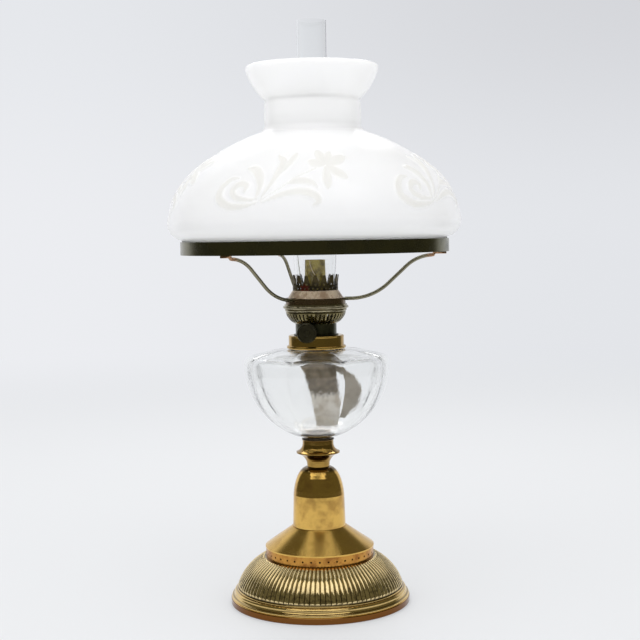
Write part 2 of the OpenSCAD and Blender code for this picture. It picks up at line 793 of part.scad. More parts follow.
module gallery_crown() {
    base_r = gallery_top_r - crown_wall - edge / 4;
    pitch = 2 * PI * base_r / crown_prongs;
    in_r = base_r - crown_wall - cut_past;
    reach = crown_wall + crown_flare + 2 * cut_past;
    eye_z = seat_z + crown_base_h + 1;
    hole_z = seat_z + crown_hole_d;
    bend_z = seat_z + crown_base_h + 3;
    path = [[base_r, seat_z], [base_r, bend_z], [base_r + crown_flare, seat_z + crown_h]];
    color("#6b5836") difference() {
        turned(sheet(path, crown_wall));
        around(crown_prongs, 180 / crown_prongs) translate([in_r, 0, seat_z]) rotate([90, 0, 90])
            linear_extrude(reach) polygon(prong_gap(pitch));
        around(crown_prongs) translate([in_r, 0, eye_z]) rotate([0, 90, 0])
            cylinder(d = crown_eye_d, h = reach);
        around(2 * crown_prongs, 90 / crown_prongs) translate([in_r, 0, hole_z]) rotate([0, 90, 0])
            cylinder(d = crown_hole_d, h = reach);
    }
}

// Opening for the air duct, on the side away from the winder
module duct_block(w, h) {
    rotate(winder_swing) translate([0, -w / 2, duct_z + (duct_h - h) / 2]) cube([2 * tube_r, w, h]);
}

module wick_tube() {
    path = [[tube_r, tube_foot_z], [tube_r, seat_z], [tube_mouth_r, tube_mouth_z]];
    slot_w = spur_t + 2 * loose_gap;
    slot_h = 2 * (spur_r + loose_gap);
    color(brass) difference() {
        turned(sheet(path, tube_wall));
        for (side = [-1, 1])
            rotate(winder_swing)
                translate([-2 * tube_r, side * spur_spread - slot_w / 2, spindle_z - slot_h / 2])
                    cube([2 * tube_r, slot_w, slot_h]);
        duct_block(duct_w, duct_h);
    }
}

module draught_tube() {
    bore_r = draught_r - tube_wall;
    foot_z = duct_z - tube_wall;
    color(brass) difference() {
        union() {
            translate([0, 0, foot_z]) cylinder(r = draught_r, h = tube_mouth_z - wick_low - foot_z);
            intersection() {
                duct_block(duct_w, duct_h);
                cylinder(r = tube_r, h = 2 * tube_mouth_z);
            }
        }
        translate([0, 0, duct_z]) cylinder(r = bore_r, h = tube_mouth_z);
        duct_block(duct_w - 2 * tube_wall, duct_h - 2 * tube_wall);
    }
}

// Winder

// Distance of each spur wheel from the middle of the spindle
spur_spread = spur_t / 2 + 1.6;
// Level of the knob's back along the spindle, clear of the collar's rolled foot
knob_back = collar_r + collar_roll + 2 * loose_gap;

module winder_spindle() {
    back_end = bush_mid + bush_l / 2 - 1 - loose_gap;
    color(dark_bronze) on_spindle() translate([0, 0, -back_end])
        cylinder(r = spindle_r, h = back_end + knob_back + knob_t / 2);
}

module spur_wheels() {
    tooth_pitch = 2 * PI * spur_r / spur_teeth;
    color(brass) on_spindle() for (side = [-1, 1])
        translate([0, 0, side * spur_spread - spur_t / 2]) difference() {
            cylinder(r = spur_r, h = spur_t);
            translate([0, 0, -cut_past]) cylinder(r = spindle_r + joint_gap, h = spur_t + 2 * cut_past);
            around(spur_teeth) translate([spur_r, 0, -cut_past])
                cylinder(r = tooth_pitch / 4, h = spur_t + 2 * cut_past);
        }
}

module winder_knob() {
    face = knob_back + knob_t;
    hub_r = 2.4;
    dish = 0.6;
    notch_r = PI * knob_r / knob_notches / 2;
    color("#1d1a16") on_spindle() difference() {
        turned([
            [spindle_r + joint_gap, knob_back], [knob_r - 0.5, knob_back], [knob_r, knob_back + 0.5],
            [knob_r, face - 0.5], [knob_r - 0.5, face], [knob_r - 1.3, face], [knob_r - 1.9, face - dish],
            [hub_r + 0.5, face - dish], [hub_r, face], [0, face], [0, knob_back + knob_t / 2 + joint_gap],
            [spindle_r + joint_gap, knob_back + knob_t / 2 + joint_gap]
        ]);
        around(knob_notches) translate([knob_r, 0, knob_back - cut_past])
            cylinder(r = notch_r, h = knob_t + 2 * cut_past);
    }
}

// Wick

module wick_sleeve() {
    slot_w = duct_w + 2 * loose_gap;
    slot_top_z = duct_z + duct_h + wick_down + loose_gap;
    color("#b5a88f") difference() {
        turned([
            [wick_r, wick_foot_z], [wick_r, tube_mouth_z - wick_low],
            [wick_r - wick_t, tube_mouth_z - wick_low], [wick_r - wick_t, wick_foot_z]
        ]);
        rotate(winder_swing) translate([0, -slot_w / 2, wick_foot_z - cut_past])
            cube([2 * wick_r, slot_w, slot_top_z - wick_foot_z + cut_past]);
    }
}

// Cross-section of a tail at one level: a strip bent round a centre, over a half angle
function strip_row(centre, r, half_angle, z, turn) =
    let (n = 6, out_r = r + wick_t / 2, in_r = r - wick_t / 2)
    let (angles = [for (i = [0:n]) half_angle * (2 * i / n - 1)])
    let (outside = [for (t = angles) centre + out_r * [sin(t), -cos(t)]])
    let (inside = [for (t = backwards(angles)) centre + in_r * [sin(t), -cos(t)]])
    [for (p = concat(outside, inside))
        [p[0] * cos(turn) - p[1] * sin(turn), p[0] * sin(turn) + p[1] * cos(turn), z]];

// A tail that leaves the sleeve round, opens out flatter, and narrows and drifts sideways to its end
module wick_tail(end_z, width, end_width, drift, turn) {
    start_r = wick_r - wick_t / 2;
    start_angle = 80;
    open_r = tail_w * 0.56;
    steps = 12;
    rows = [
        for (i = [0:steps])
            let (t = 1 - i / steps, open = ease(min(1, t * 4)))
            let (r = start_r + (open_r - start_r) * open)
            let (w = width + (end_width - width) * t * t)
            let (angle = start_angle + (asin(min(0.95, w / 2 / (r + wick_t / 2))) - start_angle) * open)
            let (centre = [drift * ease(t), (r - start_r) * 0.85])
            strip_row(centre, r, angle, wick_foot_z + (end_z - wick_foot_z) * t, turn)
    ];
    skin(rows);
}

module wick_tails() {
    color("#8d8168") {
        wick_tail(font_floor_z + front_tail_end, tail_w, tail_end_w, front_tail_drift, 0);
        wick_tail(font_floor_z + back_tail_end, tail_end_w, tail_end_w, -back_tail_drift, 180);
    }
}

// Chimney

module chimney() {
    foot_h = 10;
    bulge_z = seat_z + chimney_bulge_h;
    waist_z = bulge_z + chimney_waist_h;
    mid = [(chimney_bulge_r + chimney_tube_r) / 2, (bulge_z + waist_z) / 2];
    path = concat(
        [[chimney_foot_r, seat_z]],
        bulge([chimney_foot_r, seat_z + foot_h], [chimney_bulge_r, bulge_z], 0.4, 6),
        bulge([chimney_bulge_r, bulge_z], mid, 1, 6),
        bulge(mid, [chimney_tube_r, waist_z], -1, 6),
        [[chimney_tube_r, seat_z + chimney_l]]
    );
    color(clear_glass) turned(sheet(path, chimney_wall));
}

// Shade carrier

module carrier_ring() {
    color(dark_bronze) turned([
        [carrier_in_r, carrier_z], [carrier_r, carrier_z], [carrier_r, carrier_z + carrier_h],
        [carrier_in_r, carrier_z + carrier_h]
    ]);
}

// A share of a circle's radius, pushed out towards the square round it
function squared(share) = sign(share) * sqrt(abs(share));

// Section of an arm, round or flattened, across and up
function arm_section(flat, sides = 12) =
    let (reach = squared(cos(180 / sides)))
    [for (k = [0:sides - 1])
        let (a = 360 * (k + 0.5) / sides)
        flat ? [squared(cos(a)) * arm_pad_w, squared(sin(a)) * arm_pad_t] / 2 / reach
            : arm_rod_r * [cos(a), sin(a)]];

// Rod in the XZ plane: out from the ring, up a double bend, and flat under the shade ring.
// The straight stretch touches both bends, which are drawn in where there is no room for them.
module arm_rod() {
    end_r = ring_in_r - 1;
    end_z = ring_z - arm_rod_r - arm_sink;
    pad_z = ring_z - arm_pad_t / 2;
    low_r = carrier_r + arm_lead;
    high_r = end_r - 1.15 * arm_pad_l;
    run = high_r - low_r;
    rise = end_z - arm_z;
    bends = arm_low_bend + arm_high_bend;
    fit = min(1, 0.95 * (run * run + rise * rise) / (2 * rise * bends));
    r = fit * bends;
    straight = sqrt(run * run + (rise - r) * (rise - r) - r * r);
    slope = atan2(rise - r, run) + atan2(r, straight);
    bend_steps = 6;
    angles = [for (i = [0:bend_steps]) slope * i / bend_steps];
    path = concat(
        [[carrier_r + joint_gap, arm_z]],
        [for (t = angles) [low_r, arm_z] + fit * arm_low_bend * [sin(t), 1 - cos(t)]],
        [for (t = backwards(angles)) [high_r, end_z] - fit * arm_high_bend * [sin(t), 1 - cos(t)]],
        [[end_r - arm_pad_l, pad_z], [end_r, pad_z]]
    );
    last = len(path) - 1;
    skin([
        for (i = [0:last])
            let (flat = i > last - 2)
            let (ahead = flat || i == 0 ? [1, 0] : unit(path[i + 1] - path[i - 1]), up = left_of(ahead))
            [for (p = arm_section(flat))
                [path[i][0] + p[1] * up[0], p[0], path[i][1] + p[1] * up[1]]]
    ]);
}

module carrier_arm(i) {
    color(olive_steel) rotate(arm_turn + 360 * i / arm_count) arm_rod();
}

module carrier_arm_1() {
    carrier_arm(0);
}

module carrier_arm_2() {
    carrier_arm(1);
}

module carrier_arm_3() {
    carrier_arm(2);
}

module shade_ring() {
    color(olive_steel) turned([
        [ring_in_r - ring_ledge_w, ring_z], [ring_r, ring_z], [ring_r, ring_z + ring_h],
        [ring_in_r, ring_z + ring_h], [ring_in_r, shade_z], [ring_in_r - ring_ledge_w, shade_z]
    ]);
}

// Shade

// Shade, drawn as five rings of one glass that meet face to face

shade_belly_z = shade_z + fitter_h;
shade_widest = [fitter_r + belly_out, shade_belly_z + belly_h];
shade_turn = shade_widest + [-shoulder_in, shoulder_h];
shade_throat = [shade_neck_r, shade_turn[1] + upper_h];
shade_crease = [shade_neck_r - crease_in, shade_throat[1] + shade_neck_h];
shade_rim = shade_crease + [flare_out, flare_h];
shade_fillet = 8;
shade_fillet_start = shade_throat + shade_fillet * [1, -0.9];

// The part of the shade between two levels
module shade_part(from_z, to_z) {
    brow = [shade_neck_r, shade_crease[1] - 6];
    path = concat(
        [[fitter_r, shade_z]],
        bulge([fitter_r, shade_belly_z], shade_widest, 4, 8),
        bulge(shade_widest, shade_turn, 5.6, 10),
        bulge(shade_turn, shade_fillet_start, 2.6, 8),
        bulge(shade_fillet_start, shade_throat, -1.6, 5),
        bulge(shade_throat, brow, 0.4, 4),
        bulge(brow, shade_crease, 0.6, 4),
        bulge(shade_crease, shade_rim, 3.8, 8)
    );
    color(opal_glass) intersection() {
        turned(sheet(path, shade_wall));
        translate([0, 0, from_z]) cylinder(r = 2 * ring_r, h = to_z - from_z);
    }
}

module shade_fitter() {
    shade_part(shade_z - cut_past, shade_widest[1]);
}

module shade_bowl() {
    shade_part(shade_widest[1], shade_turn[1]);
}

module shade_dome() {
    shade_part(shade_turn[1], shade_fillet_start[1]);
}

module shade_neck() {
    shade_part(shade_fillet_start[1], shade_crease[1]);
}

module shade_flare() {
    shade_part(shade_crease[1], shade_rim[1] + shade_wall);
}

foot_rim();
gadrooned_dome();
punched_band();
cone_shoulder();
domed_stem();
font_cup();
tie_rod();
tie_nut();
tie_washer();
base_weight();
glass_font();
font_neck();
cup_plaster();
font_collar();
collar_plaster();
screw_cup();
air_basket();
basket_rim();
gallery();
gallery_crown();
wick_tube();
draught_tube();
spindle_bushes();
winder_spindle();
spur_wheels();
winder_knob();
wick_sleeve();
wick_tails();
chimney();
carrier_ring();
carrier_arm_1();
carrier_arm_2();
carrier_arm_3();
shade_ring();
shade_fitter();
shade_bowl();
shade_dome();
shade_neck();
shade_flare();
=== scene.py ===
import math

import bpy
import numpy as np
from mathutils import Matrix, Vector


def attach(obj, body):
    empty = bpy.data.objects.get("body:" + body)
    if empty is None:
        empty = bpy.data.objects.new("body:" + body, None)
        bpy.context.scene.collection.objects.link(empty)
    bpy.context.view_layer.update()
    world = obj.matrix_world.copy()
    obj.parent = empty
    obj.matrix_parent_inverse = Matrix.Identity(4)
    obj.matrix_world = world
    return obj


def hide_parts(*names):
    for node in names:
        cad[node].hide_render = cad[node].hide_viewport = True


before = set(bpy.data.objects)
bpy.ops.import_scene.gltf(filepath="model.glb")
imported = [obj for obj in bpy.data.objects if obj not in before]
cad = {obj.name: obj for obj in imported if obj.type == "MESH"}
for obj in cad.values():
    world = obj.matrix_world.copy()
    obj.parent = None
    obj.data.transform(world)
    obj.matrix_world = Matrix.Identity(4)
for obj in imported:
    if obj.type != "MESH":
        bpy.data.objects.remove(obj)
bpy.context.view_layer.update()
mm = 0.001
print("frame loaded:", len(cad), "nodes")


def clearSelection():
    if bpy.context.object and bpy.context.object.mode == "EDIT":
        bpy.ops.object.mode_set(mode="OBJECT")
    bpy.ops.object.select_all(action="DESELECT")


def ease(t):
    t = np.clip(t, 0, 1)
    return t * t * (3 - 2 * t)


# profile points are (radius, height) in mm, as in the part's source
def arcTo(a, b, rise, n):
    a, b = np.array(a, float), np.array(b, float)
    along = (b - a) / np.linalg.norm(b - a)
    side = np.array([along[1], -along[0]])
    half = np.linalg.norm(b - a) / 2
    r = (half * half + rise * rise) / (2 * rise)
    sweep = 4 * math.atan(rise / half)
    centre = (a + b) / 2 + side * (rise - r)
    return [centre + r * (side * math.cos(t) + along * math.sin(t)) for t in sweep * (np.arange(n + 1) / n - 0.5)]


def withoutRepeats(path):
    kept = [np.array(path[0], float)]
    for p in path[1:]:
        if np.linalg.norm(np.array(p) - kept[-1]) > 0.01:
            kept.append(np.array(p, float))
    return kept


# a path moved d to its left, so a wall can follow an outer face
def movedLeft(path, d):
    path = withoutRepeats(path)
    last = len(path) - 1
    moved = []
    for i, p in enumerate(path):
        before = path[max(i, 1)] - path[max(i, 1) - 1]
        after = path[min(i + 1, last)] - path[min(i + 1, last) - 1]
        before, after = before / np.linalg.norm(before), after / np.linalg.norm(after)
        mean = (before + after) / np.linalg.norm(before + after)
        away = np.array([-mean[1], mean[0]])
        moved.append(p + away * d / np.dot(away, [-before[1], before[0]]))
    return moved


def coordsOf(piece):
    co = np.empty(len(piece.data.vertices) * 3)
    piece.data.vertices.foreach_get("co", co)
    return co.reshape(-1, 3)


def setCoords(piece, co):
    piece.data.vertices.foreach_set("co", np.asarray(co, float).ravel())
    piece.data.update()


# a closed profile loop, spun once round the lamp's axis
def turnOnLathe(name, loop, steps):
    loop = withoutRepeats(loop)
    clearSelection()
    bpy.ops.mesh.primitive_circle_add(vertices=len(loop), radius=1)
    piece = bpy.context.object
    piece.name = name
    setCoords(piece, [(r * mm, 0, z * mm) for r, z in loop])
    bpy.ops.object.mode_set(mode="EDIT")
    bpy.ops.mesh.select_all(action="SELECT")
    bpy.ops.mesh.spin(steps=steps, angle=2 * math.pi, center=(0, 0, 0), axis=(0, 0, 1))
    bpy.ops.mesh.select_all(action="SELECT")
    bpy.ops.mesh.remove_doubles(threshold=1e-6)
    bpy.ops.mesh.dissolve_degenerate(threshold=1e-7)
    bpy.ops.mesh.normals_make_consistent(inside=False)
    bpy.ops.object.mode_set(mode="OBJECT")
    return piece


def pointValues(piece, name, values):
    layer = piece.data.attributes.new(name, "FLOAT", "POINT")
    layer.data.foreach_set("value", np.asarray(values, np.float32))


# radius, turn in radians and height of each point of a turned piece, in mm
def roundOf(piece):
    co = coordsOf(piece) / mm
    return np.hypot(co[:, 0], co[:, 1]), np.arctan2(co[:, 1], co[:, 0]), co[:, 2]


def setRound(piece, radius, turn, z):
    setCoords(piece, np.stack([radius * np.cos(turn), radius * np.sin(turn), z], 1) * mm)


# the point of a profile that each point of a turned piece came from, and whether it lies on it
def nearestRow(radius, z, profile, reach=0.02):
    arr = np.array(profile)
    row = np.argmin(np.hypot(radius[:, None] - arr[None, :, 0], z[:, None] - arr[None, :, 1]), axis=1)
    return row, np.hypot(radius - arr[row, 0], z - arr[row, 1]) < reach


# lifts each point of a turned piece square to its profile
def raiseFrom(piece, profile, row, push):
    radius, turn, z = roundOf(piece)
    step = np.gradient(np.array(profile), axis=0)
    out = np.stack([step[:, 1], -step[:, 0]], 1) / np.linalg.norm(step, axis=1)[:, None]
    setRound(piece, radius + push * out[row, 0], turn, z + push * out[row, 1])


def selectOnly(piece):
    clearSelection()
    piece.select_set(True)
    bpy.context.view_layer.objects.active = piece


def smoothBelow(piece, degrees):
    selectOnly(piece)
    bpy.ops.object.shade_smooth_by_angle(angle=math.radians(degrees))


# a round rod along points in mm
def rodAlong(name, points, radius, rounds):
    curve = bpy.data.curves.new(name, "CURVE")
    curve.dimensions = "3D"
    spline = curve.splines.new("POLY")
    spline.points.add(len(points) - 1)
    for point, (x, y, z) in zip(spline.points, points):
        point.co = (x * mm, y * mm, z * mm, 1)
    curve.bevel_depth = radius * mm
    curve.bevel_resolution = rounds
    curve.use_fill_caps = True
    piece = bpy.data.objects.new(name, curve)
    bpy.context.scene.collection.objects.link(piece)
    selectOnly(piece)
    bpy.ops.object.convert(target="MESH")
    return bpy.context.object


def settle(piece, body, slotName, finish, *nodes):
    piece.data.materials.clear()
    piece.data.materials.append(finish)
    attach(piece, body)
    if nodes:
        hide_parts(*nodes)
    print("made", piece.name, len(piece.data.polygons), "faces")


# finishes

def addNode(tree, kind, **values):
    node = tree.nodes.new(kind)
    for key, value in values.items():
        if key.startswith("in_"):
            node.inputs[int(key[3:])].default_value = value
        else:
            setattr(node, key, value)
    return node


def join(tree, source, target):
    tree.links.new(source, target)


def placeIn(tree, kind="Object"):
    parts = addNode(tree, "ShaderNodeSeparateXYZ")
    join(tree, addNode(tree, "ShaderNodeTexCoord").outputs[kind], parts.inputs[0])
    return parts.outputs


def fresh(name):
    material = bpy.data.materials.new(name)
    material.use_nodes = True
    tree = material.node_tree
    return material, tree, tree.nodes["Principled BSDF"]


def blendColour(tree, share, first, second):
    node = addNode(tree, "ShaderNodeMix", data_type="RGBA")
    for socket, value in ((node.inputs[0], share), (node.inputs[6], first), (node.inputs[7], second)):
        if isinstance(value, (int, float)):
            socket.default_value = value
        elif isinstance(value, tuple):
            socket.default_value = (*value, 1)
        else:
            join(tree, value, socket)
    return node.outputs[2]


def sums(tree, how, first, second=None, third=None):
    node = addNode(tree, "ShaderNodeMath", operation=how)
    for socket, value in zip(node.inputs, (first, second, third)):
        if value is None:
            continue
        if isinstance(value, (int, float)):
            socket.default_value = value
        else:
            join(tree, value, socket)
    return node.outputs[0]


def span(tree, source, low, high, toLow=0.0, toHigh=1.0):
    node = addNode(tree, "ShaderNodeMapRange", interpolation_type="SMOOTHSTEP")
    for socket, value in zip(list(node.inputs)[1:5], (low, high, toLow, toHigh)):
        socket.default_value = value
    join(tree, source, node.inputs[0])
    return node.outputs[0]


# patches, specks and fine scratches that the metals and the glass share
def makeAgeGroup():
    group = bpy.data.node_groups.new("ageMarks", "ShaderNodeTree")
    group.interface.new_socket("Scale", in_out="INPUT", socket_type="NodeSocketFloat")
    group.interface.new_socket("Stretch", in_out="INPUT", socket_type="NodeSocketFloat")
    for name in ("Patches", "Specks", "Scratches"):
        group.interface.new_socket(name, in_out="OUTPUT", socket_type="NodeSocketFloat")
    entry, leave = addNode(group, "NodeGroupInput"), addNode(group, "NodeGroupOutput")
    place = addNode(group, "ShaderNodeTexCoord")
    broad = addNode(group, "ShaderNodeTexNoise")
    broad.inputs["Detail"].default_value = 6
    broad.inputs["Roughness"].default_value = 0.62
    join(group, place.outputs["Object"], broad.inputs["Vector"])
    join(group, entry.outputs[0], broad.inputs["Scale"])
    speckScale = sums(group, "MULTIPLY", entry.outputs[0], 14.0)
    fine = addNode(group, "ShaderNodeTexNoise")
    fine.inputs["Detail"].default_value = 3
    join(group, place.outputs["Object"], fine.inputs["Vector"])
    join(group, speckScale, fine.inputs["Scale"])
    squeeze = addNode(group, "ShaderNodeCombineXYZ")
    squeeze.inputs[0].default_value = 1
    squeeze.inputs[1].default_value = 1
    join(group, entry.outputs[1], squeeze.inputs[2])
    stretched = addNode(group, "ShaderNodeVectorMath", operation="MULTIPLY")
    join(group, place.outputs["Object"], stretched.inputs[0])
    join(group, squeeze.outputs[0], stretched.inputs[1])
    hair = addNode(group, "ShaderNodeTexNoise")
    hair.inputs["Detail"].default_value = 2
    join(group, stretched.outputs[0], hair.inputs["Vector"])
    join(group, speckScale, hair.inputs["Scale"])
    join(group, span(group, broad.outputs[0], 0.42, 0.66), leave.inputs[0])
    join(group, span(group, fine.outputs[0], 0.58, 0.72), leave.inputs[1])
    join(group, hair.outputs[0], leave.inputs[2])
    return group


ageMarks = makeAgeGroup()


def ageIn(tree, scale, stretch):
    node = addNode(tree, "ShaderNodeGroup", node_tree=ageMarks)
    node.inputs[0].default_value = scale
    node.inputs[1].default_value = stretch
    return node


def bumpOn(tree, shader, height, strength, distance):
    bump = addNode(tree, "ShaderNodeBump")
    bump.inputs["Strength"].default_value = strength
    bump.inputs["Distance"].default_value = distance
    join(tree, height, bump.inputs["Height"])
    join(tree, bump.outputs[0], shader.inputs["Normal"])


# clean metal with darker patches: tone and dull are linear colours, rough is (clean, tarnished)
def metalFinish(name, look):
    material, tree, shader = fresh(name)
    age = ageIn(tree, look.get("scale", 38.0), look.get("stretch", 9.0))
    colour = blendColour(tree, sums(tree, "MULTIPLY", age.outputs[0], look.get("patches", 0.6)),
                         look["tone"], look["dull"])
    colour = blendColour(tree, sums(tree, "MULTIPLY", age.outputs[1], look.get("specks", 0.25)),
                         colour, look.get("speckTone", look["dull"]))
    extra = look.get("extra")
    if extra:
        colour = extra(tree, colour)
    join(tree, colour, shader.inputs["Base Color"])
    clean, worn = look["rough"]
    roughness = sums(tree, "MULTIPLY_ADD", age.outputs[0], worn - clean, clean)
    roughness = sums(tree, "MULTIPLY_ADD", age.outputs[2], look.get("haze", 0.08), roughness)
    join(tree, roughness, shader.inputs["Roughness"])
    shader.inputs["Metallic"].default_value = 1
    bumpOn(tree, shader, age.outputs[2], look.get("bump", 0.06), 0.0004)
    return material


def heightIn(tree):
    return placeIn(tree)[2]


def radiusIn(tree):
    place = addNode(tree, "ShaderNodeTexCoord")
    flat = addNode(tree, "ShaderNodeVectorMath", operation="MULTIPLY", in_1=(1, 1, 0))
    join(tree, place.outputs["Object"], flat.inputs[0])
    size = addNode(tree, "ShaderNodeVectorMath", operation="LENGTH")
    join(tree, flat.outputs[0], size.inputs[0])
    return size.outputs["Value"]


def pieceValue(tree, name):
    return addNode(tree, "ShaderNodeAttribute", attribute_name=name).outputs["Fac"]


# marks on single pieces, in mm, most of them age, one painted shade under the cup's neck: each grows over its span,
# up to its share
wearAndShade = {
    "footLines": {"at": (8.0, 10.0, 12.6, 14.3), "span": (0.4, 0.1), "share": 0.6, "tone": (0.06, 0.04, 0.016)},
    "footBand": {"span": (5.5, 5.2), "share": 1.0, "tone": (0.2, 0.08, 0.02)},
    "cupTopLine": {"span": (145.6, 146.2), "share": 0.95, "tone": (0.03, 0.024, 0.018)},
    # stemTopShade is painted shade under the cup, not wear
    "stemTopShade": {"span": (116.5, 119.5), "share": 0.9, "tone": (0.1, 0.065, 0.025)},
    "armEnds": {"span": (97, 104), "share": 0.8, "tone": (0.42, 0.23, 0.13)},
    "heatStain": {"at": (-9.5, -17.5, 281.5), "span": (6, 3), "share": 0.8, "tone": (0.2, 0.03, 0.022)},
    "grooves": {"span": (40, 20), "least": 0.7, "tone": (0.03, 0.022, 0.01)},
    "mottle": {"scale": 320, "detail": 4, "cut": (0.45, 0.62), "span": (33, 20), "least": 0.03, "share": 0.5,
               "tone": (0.06, 0.045, 0.02)},
}


# blends a mark's tone in over its span: wear on most pieces, painted shade at the stem's top
def worn(tree, colour, source, mark):
    low, high = mark["span"]
    return blendColour(tree, span(tree, source, low * mm, high * mm, 0.0, mark["share"]), colour, mark["tone"])


# the plain band at the table is redder than the mouldings above it
# and the lines between them are darker
def copperFoot(tree, colour):
    height = heightIn(tree)
    for line in wearAndShade["footLines"]["at"]:
        near = sums(tree, "ABSOLUTE", sums(tree, "SUBTRACT", height, line * mm))
        colour = worn(tree, colour, near, wearAndShade["footLines"])
    return worn(tree, colour, height, wearAndShade["footBand"])


# a darker line along the cup's top edge, where the glass stands in it
def darkTopEdge(tree, colour):
    return worn(tree, colour, heightIn(tree), wearAndShade["cupTopLine"])


# painted shade under the cup's neck, where the cup keeps the light off the stem's top
def paintedShadeUnderCup(tree, colour):
    return worn(tree, colour, heightIn(tree), wearAndShade["stemTopShade"])


# dark tarnish lies in the grooves, most of it low on the dome
def tarnishedGrooves(tree, colour):
    mark = wearAndShade["grooves"]
    low = span(tree, heightIn(tree), mark["span"][0] * mm, mark["span"][1] * mm, mark["least"], 1.0)
    share = sums(tree, "MULTIPLY", pieceValue(tree, "groove"), low)
    colour = blendColour(tree, share, colour, mark["tone"])
    mark = wearAndShade["mottle"]
    mottle = addNode(tree, "ShaderNodeTexNoise")
    mottle.inputs["Scale"].default_value = mark["scale"]
    mottle.inputs["Detail"].default_value = mark["detail"]
    join(tree, addNode(tree, "ShaderNodeTexCoord").outputs["Object"], mottle.inputs["Vector"])
    low = span(tree, heightIn(tree), mark["span"][0] * mm, mark["span"][1] * mm, mark["least"], mark["share"])
    spots = sums(tree, "MULTIPLY", span(tree, mottle.outputs[0], *mark["cut"]), low)
    return blendColour(tree, spots, colour, mark["tone"])


# the plating has worn through to copper where an arm meets the shade ring
def copperEnds(tree, colour):
    return worn(tree, colour, radiusIn(tree), wearAndShade["armEnds"])


# a heat stain on the left of the crown's foot
def redPatch(tree, colour):
    place = addNode(tree, "ShaderNodeTexCoord")
    away = addNode(tree, "ShaderNodeVectorMath", operation="DISTANCE",
                   in_1=tuple(c * mm for c in wearAndShade["heatStain"]["at"]))
    join(tree, place.outputs["Object"], away.inputs[0])
    return worn(tree, colour, away.outputs["Value"], wearAndShade["heatStain"])


brassTone = (0.78, 0.49, 0.125)
finishes = {
    "cone": metalFinish("polishedBrass", {
        "tone": brassTone, "dull": (0.6, 0.36, 0.09), "rough": (0.16, 0.24), "haze": 0.03, "patches": 0.6,
        "scale": 80.0, "bump": 0.012}),
    "stem": metalFinish("stemBrass", {
        "tone": brassTone, "dull": (0.5, 0.28, 0.075), "rough": (0.1, 0.18), "haze": 0.03, "patches": 0.75,
        "scale": 62.0, "bump": 0.012, "extra": paintedShadeUnderCup}),
    "cup": metalFinish("cupBrass", {
        "tone": (0.41, 0.25, 0.06), "dull": (0.25, 0.15, 0.045), "rough": (0.06, 0.13), "haze": 0.03,
        "patches": 0.6, "scale": 110.0, "bump": 0.015, "extra": darkTopEdge}),
    "footRim": metalFinish("footBrass", {
        "tone": (0.84, 0.6, 0.24), "dull": (0.5, 0.34, 0.12), "rough": (0.03, 0.1), "haze": 0.02, "patches": 0.35,
        "scale": 80.0, "bump": 0.015, "extra": copperFoot}),
    "gadroons": metalFinish("gadroonBrass", {
        "tone": (0.94, 0.74, 0.39), "dull": (0.52, 0.38, 0.17), "rough": (0.06, 0.16), "haze": 0.03,
        "patches": 0.4, "scale": 60.0, "bump": 0.03, "extra": tarnishedGrooves}),
    "band": metalFinish("bandCopper", {
        "tone": (0.6, 0.3, 0.065), "dull": (0.36, 0.14, 0.035), "rough": (0.14, 0.3), "patches": 0.8,
        "scale": 90.0}),
    "collar": metalFinish("collarBronze", {
        "tone": (0.5, 0.32, 0.085), "dull": (0.3, 0.19, 0.06), "rough": (0.1, 0.2), "haze": 0.05, "patches": 0.6,
        "scale": 70.0, "bump": 0.02}),
    "burner": metalFinish("burnerBronze", {
        "tone": (0.25, 0.21, 0.1), "dull": (0.03, 0.026, 0.017), "rough": (0.12, 0.3), "haze": 0.05,
        "patches": 0.8, "specks": 0.4, "scale": 110.0}),
    "rim": metalFinish("rimBronze", {
        "tone": (0.34, 0.3, 0.2), "dull": (0.1, 0.085, 0.05), "rough": (0.07, 0.16), "haze": 0.04, "patches": 0.6,
        "scale": 60.0, "bump": 0.02}),
    "screwCup": metalFinish("darkCup", {
        "tone": (0.07, 0.07, 0.04), "dull": (0.02, 0.02, 0.014), "rough": (0.25, 0.42), "patches": 0.8,
        "scale": 90.0}),
    "gallery": metalFinish("galleryBrass", {
        "tone": (0.58, 0.47, 0.34), "dull": (0.28, 0.18, 0.11), "rough": (0.18, 0.36), "patches": 0.8,
        "scale": 90.0}),
    "crown": metalFinish("sootedCrown", {
        "tone": (0.12, 0.095, 0.045), "dull": (0.018, 0.016, 0.012), "rough": (0.35, 0.55), "patches": 0.9,
        "specks": 0.5, "speckTone": (0.14, 0.1, 0.05), "scale": 130.0, "extra": redPatch}),
    "tube": metalFinish("tubeBrass", {
        "tone": (0.4, 0.32, 0.08), "dull": (0.16, 0.115, 0.04), "rough": (0.35, 0.55), "patches": 0.8,
        "specks": 0.5, "scale": 120.0}),
    "knob": metalFinish("blackKnob", {
        "tone": (0.075, 0.068, 0.042), "dull": (0.035, 0.032, 0.022), "rough": (0.35, 0.5), "patches": 0.7,
        "scale": 120.0}),
    "carrier": metalFinish("carrierOlive", {
        "tone": (0.14, 0.13, 0.068), "dull": (0.07, 0.068, 0.04), "rough": (0.14, 0.26), "patches": 0.7,
        "scale": 45.0}),
    "carrierBrown": metalFinish("carrierBrown", {
        "tone": (0.2, 0.135, 0.075), "dull": (0.09, 0.065, 0.04), "rough": (0.16, 0.3), "patches": 0.7,
        "scale": 70.0}),
    "arms": metalFinish("armOlive", {
        "tone": (0.27, 0.25, 0.17), "dull": (0.14, 0.125, 0.08), "rough": (0.14, 0.2), "haze": 0.0, "patches": 0.5,
        "scale": 18.0, "stretch": 1.0, "specks": 0.05, "bump": 0.003, "extra": copperEnds}),
    "iron": metalFinish("castIron", {
        "tone": (0.05, 0.05, 0.05), "dull": (0.03, 0.022, 0.018), "rough": (0.5, 0.7), "patches": 0.8,
        "bump": 0.4}),
    "steel": metalFinish("plainSteel", {
        "tone": (0.3, 0.3, 0.29), "dull": (0.12, 0.1, 0.08), "rough": (0.3, 0.5), "patches": 0.7}),
}


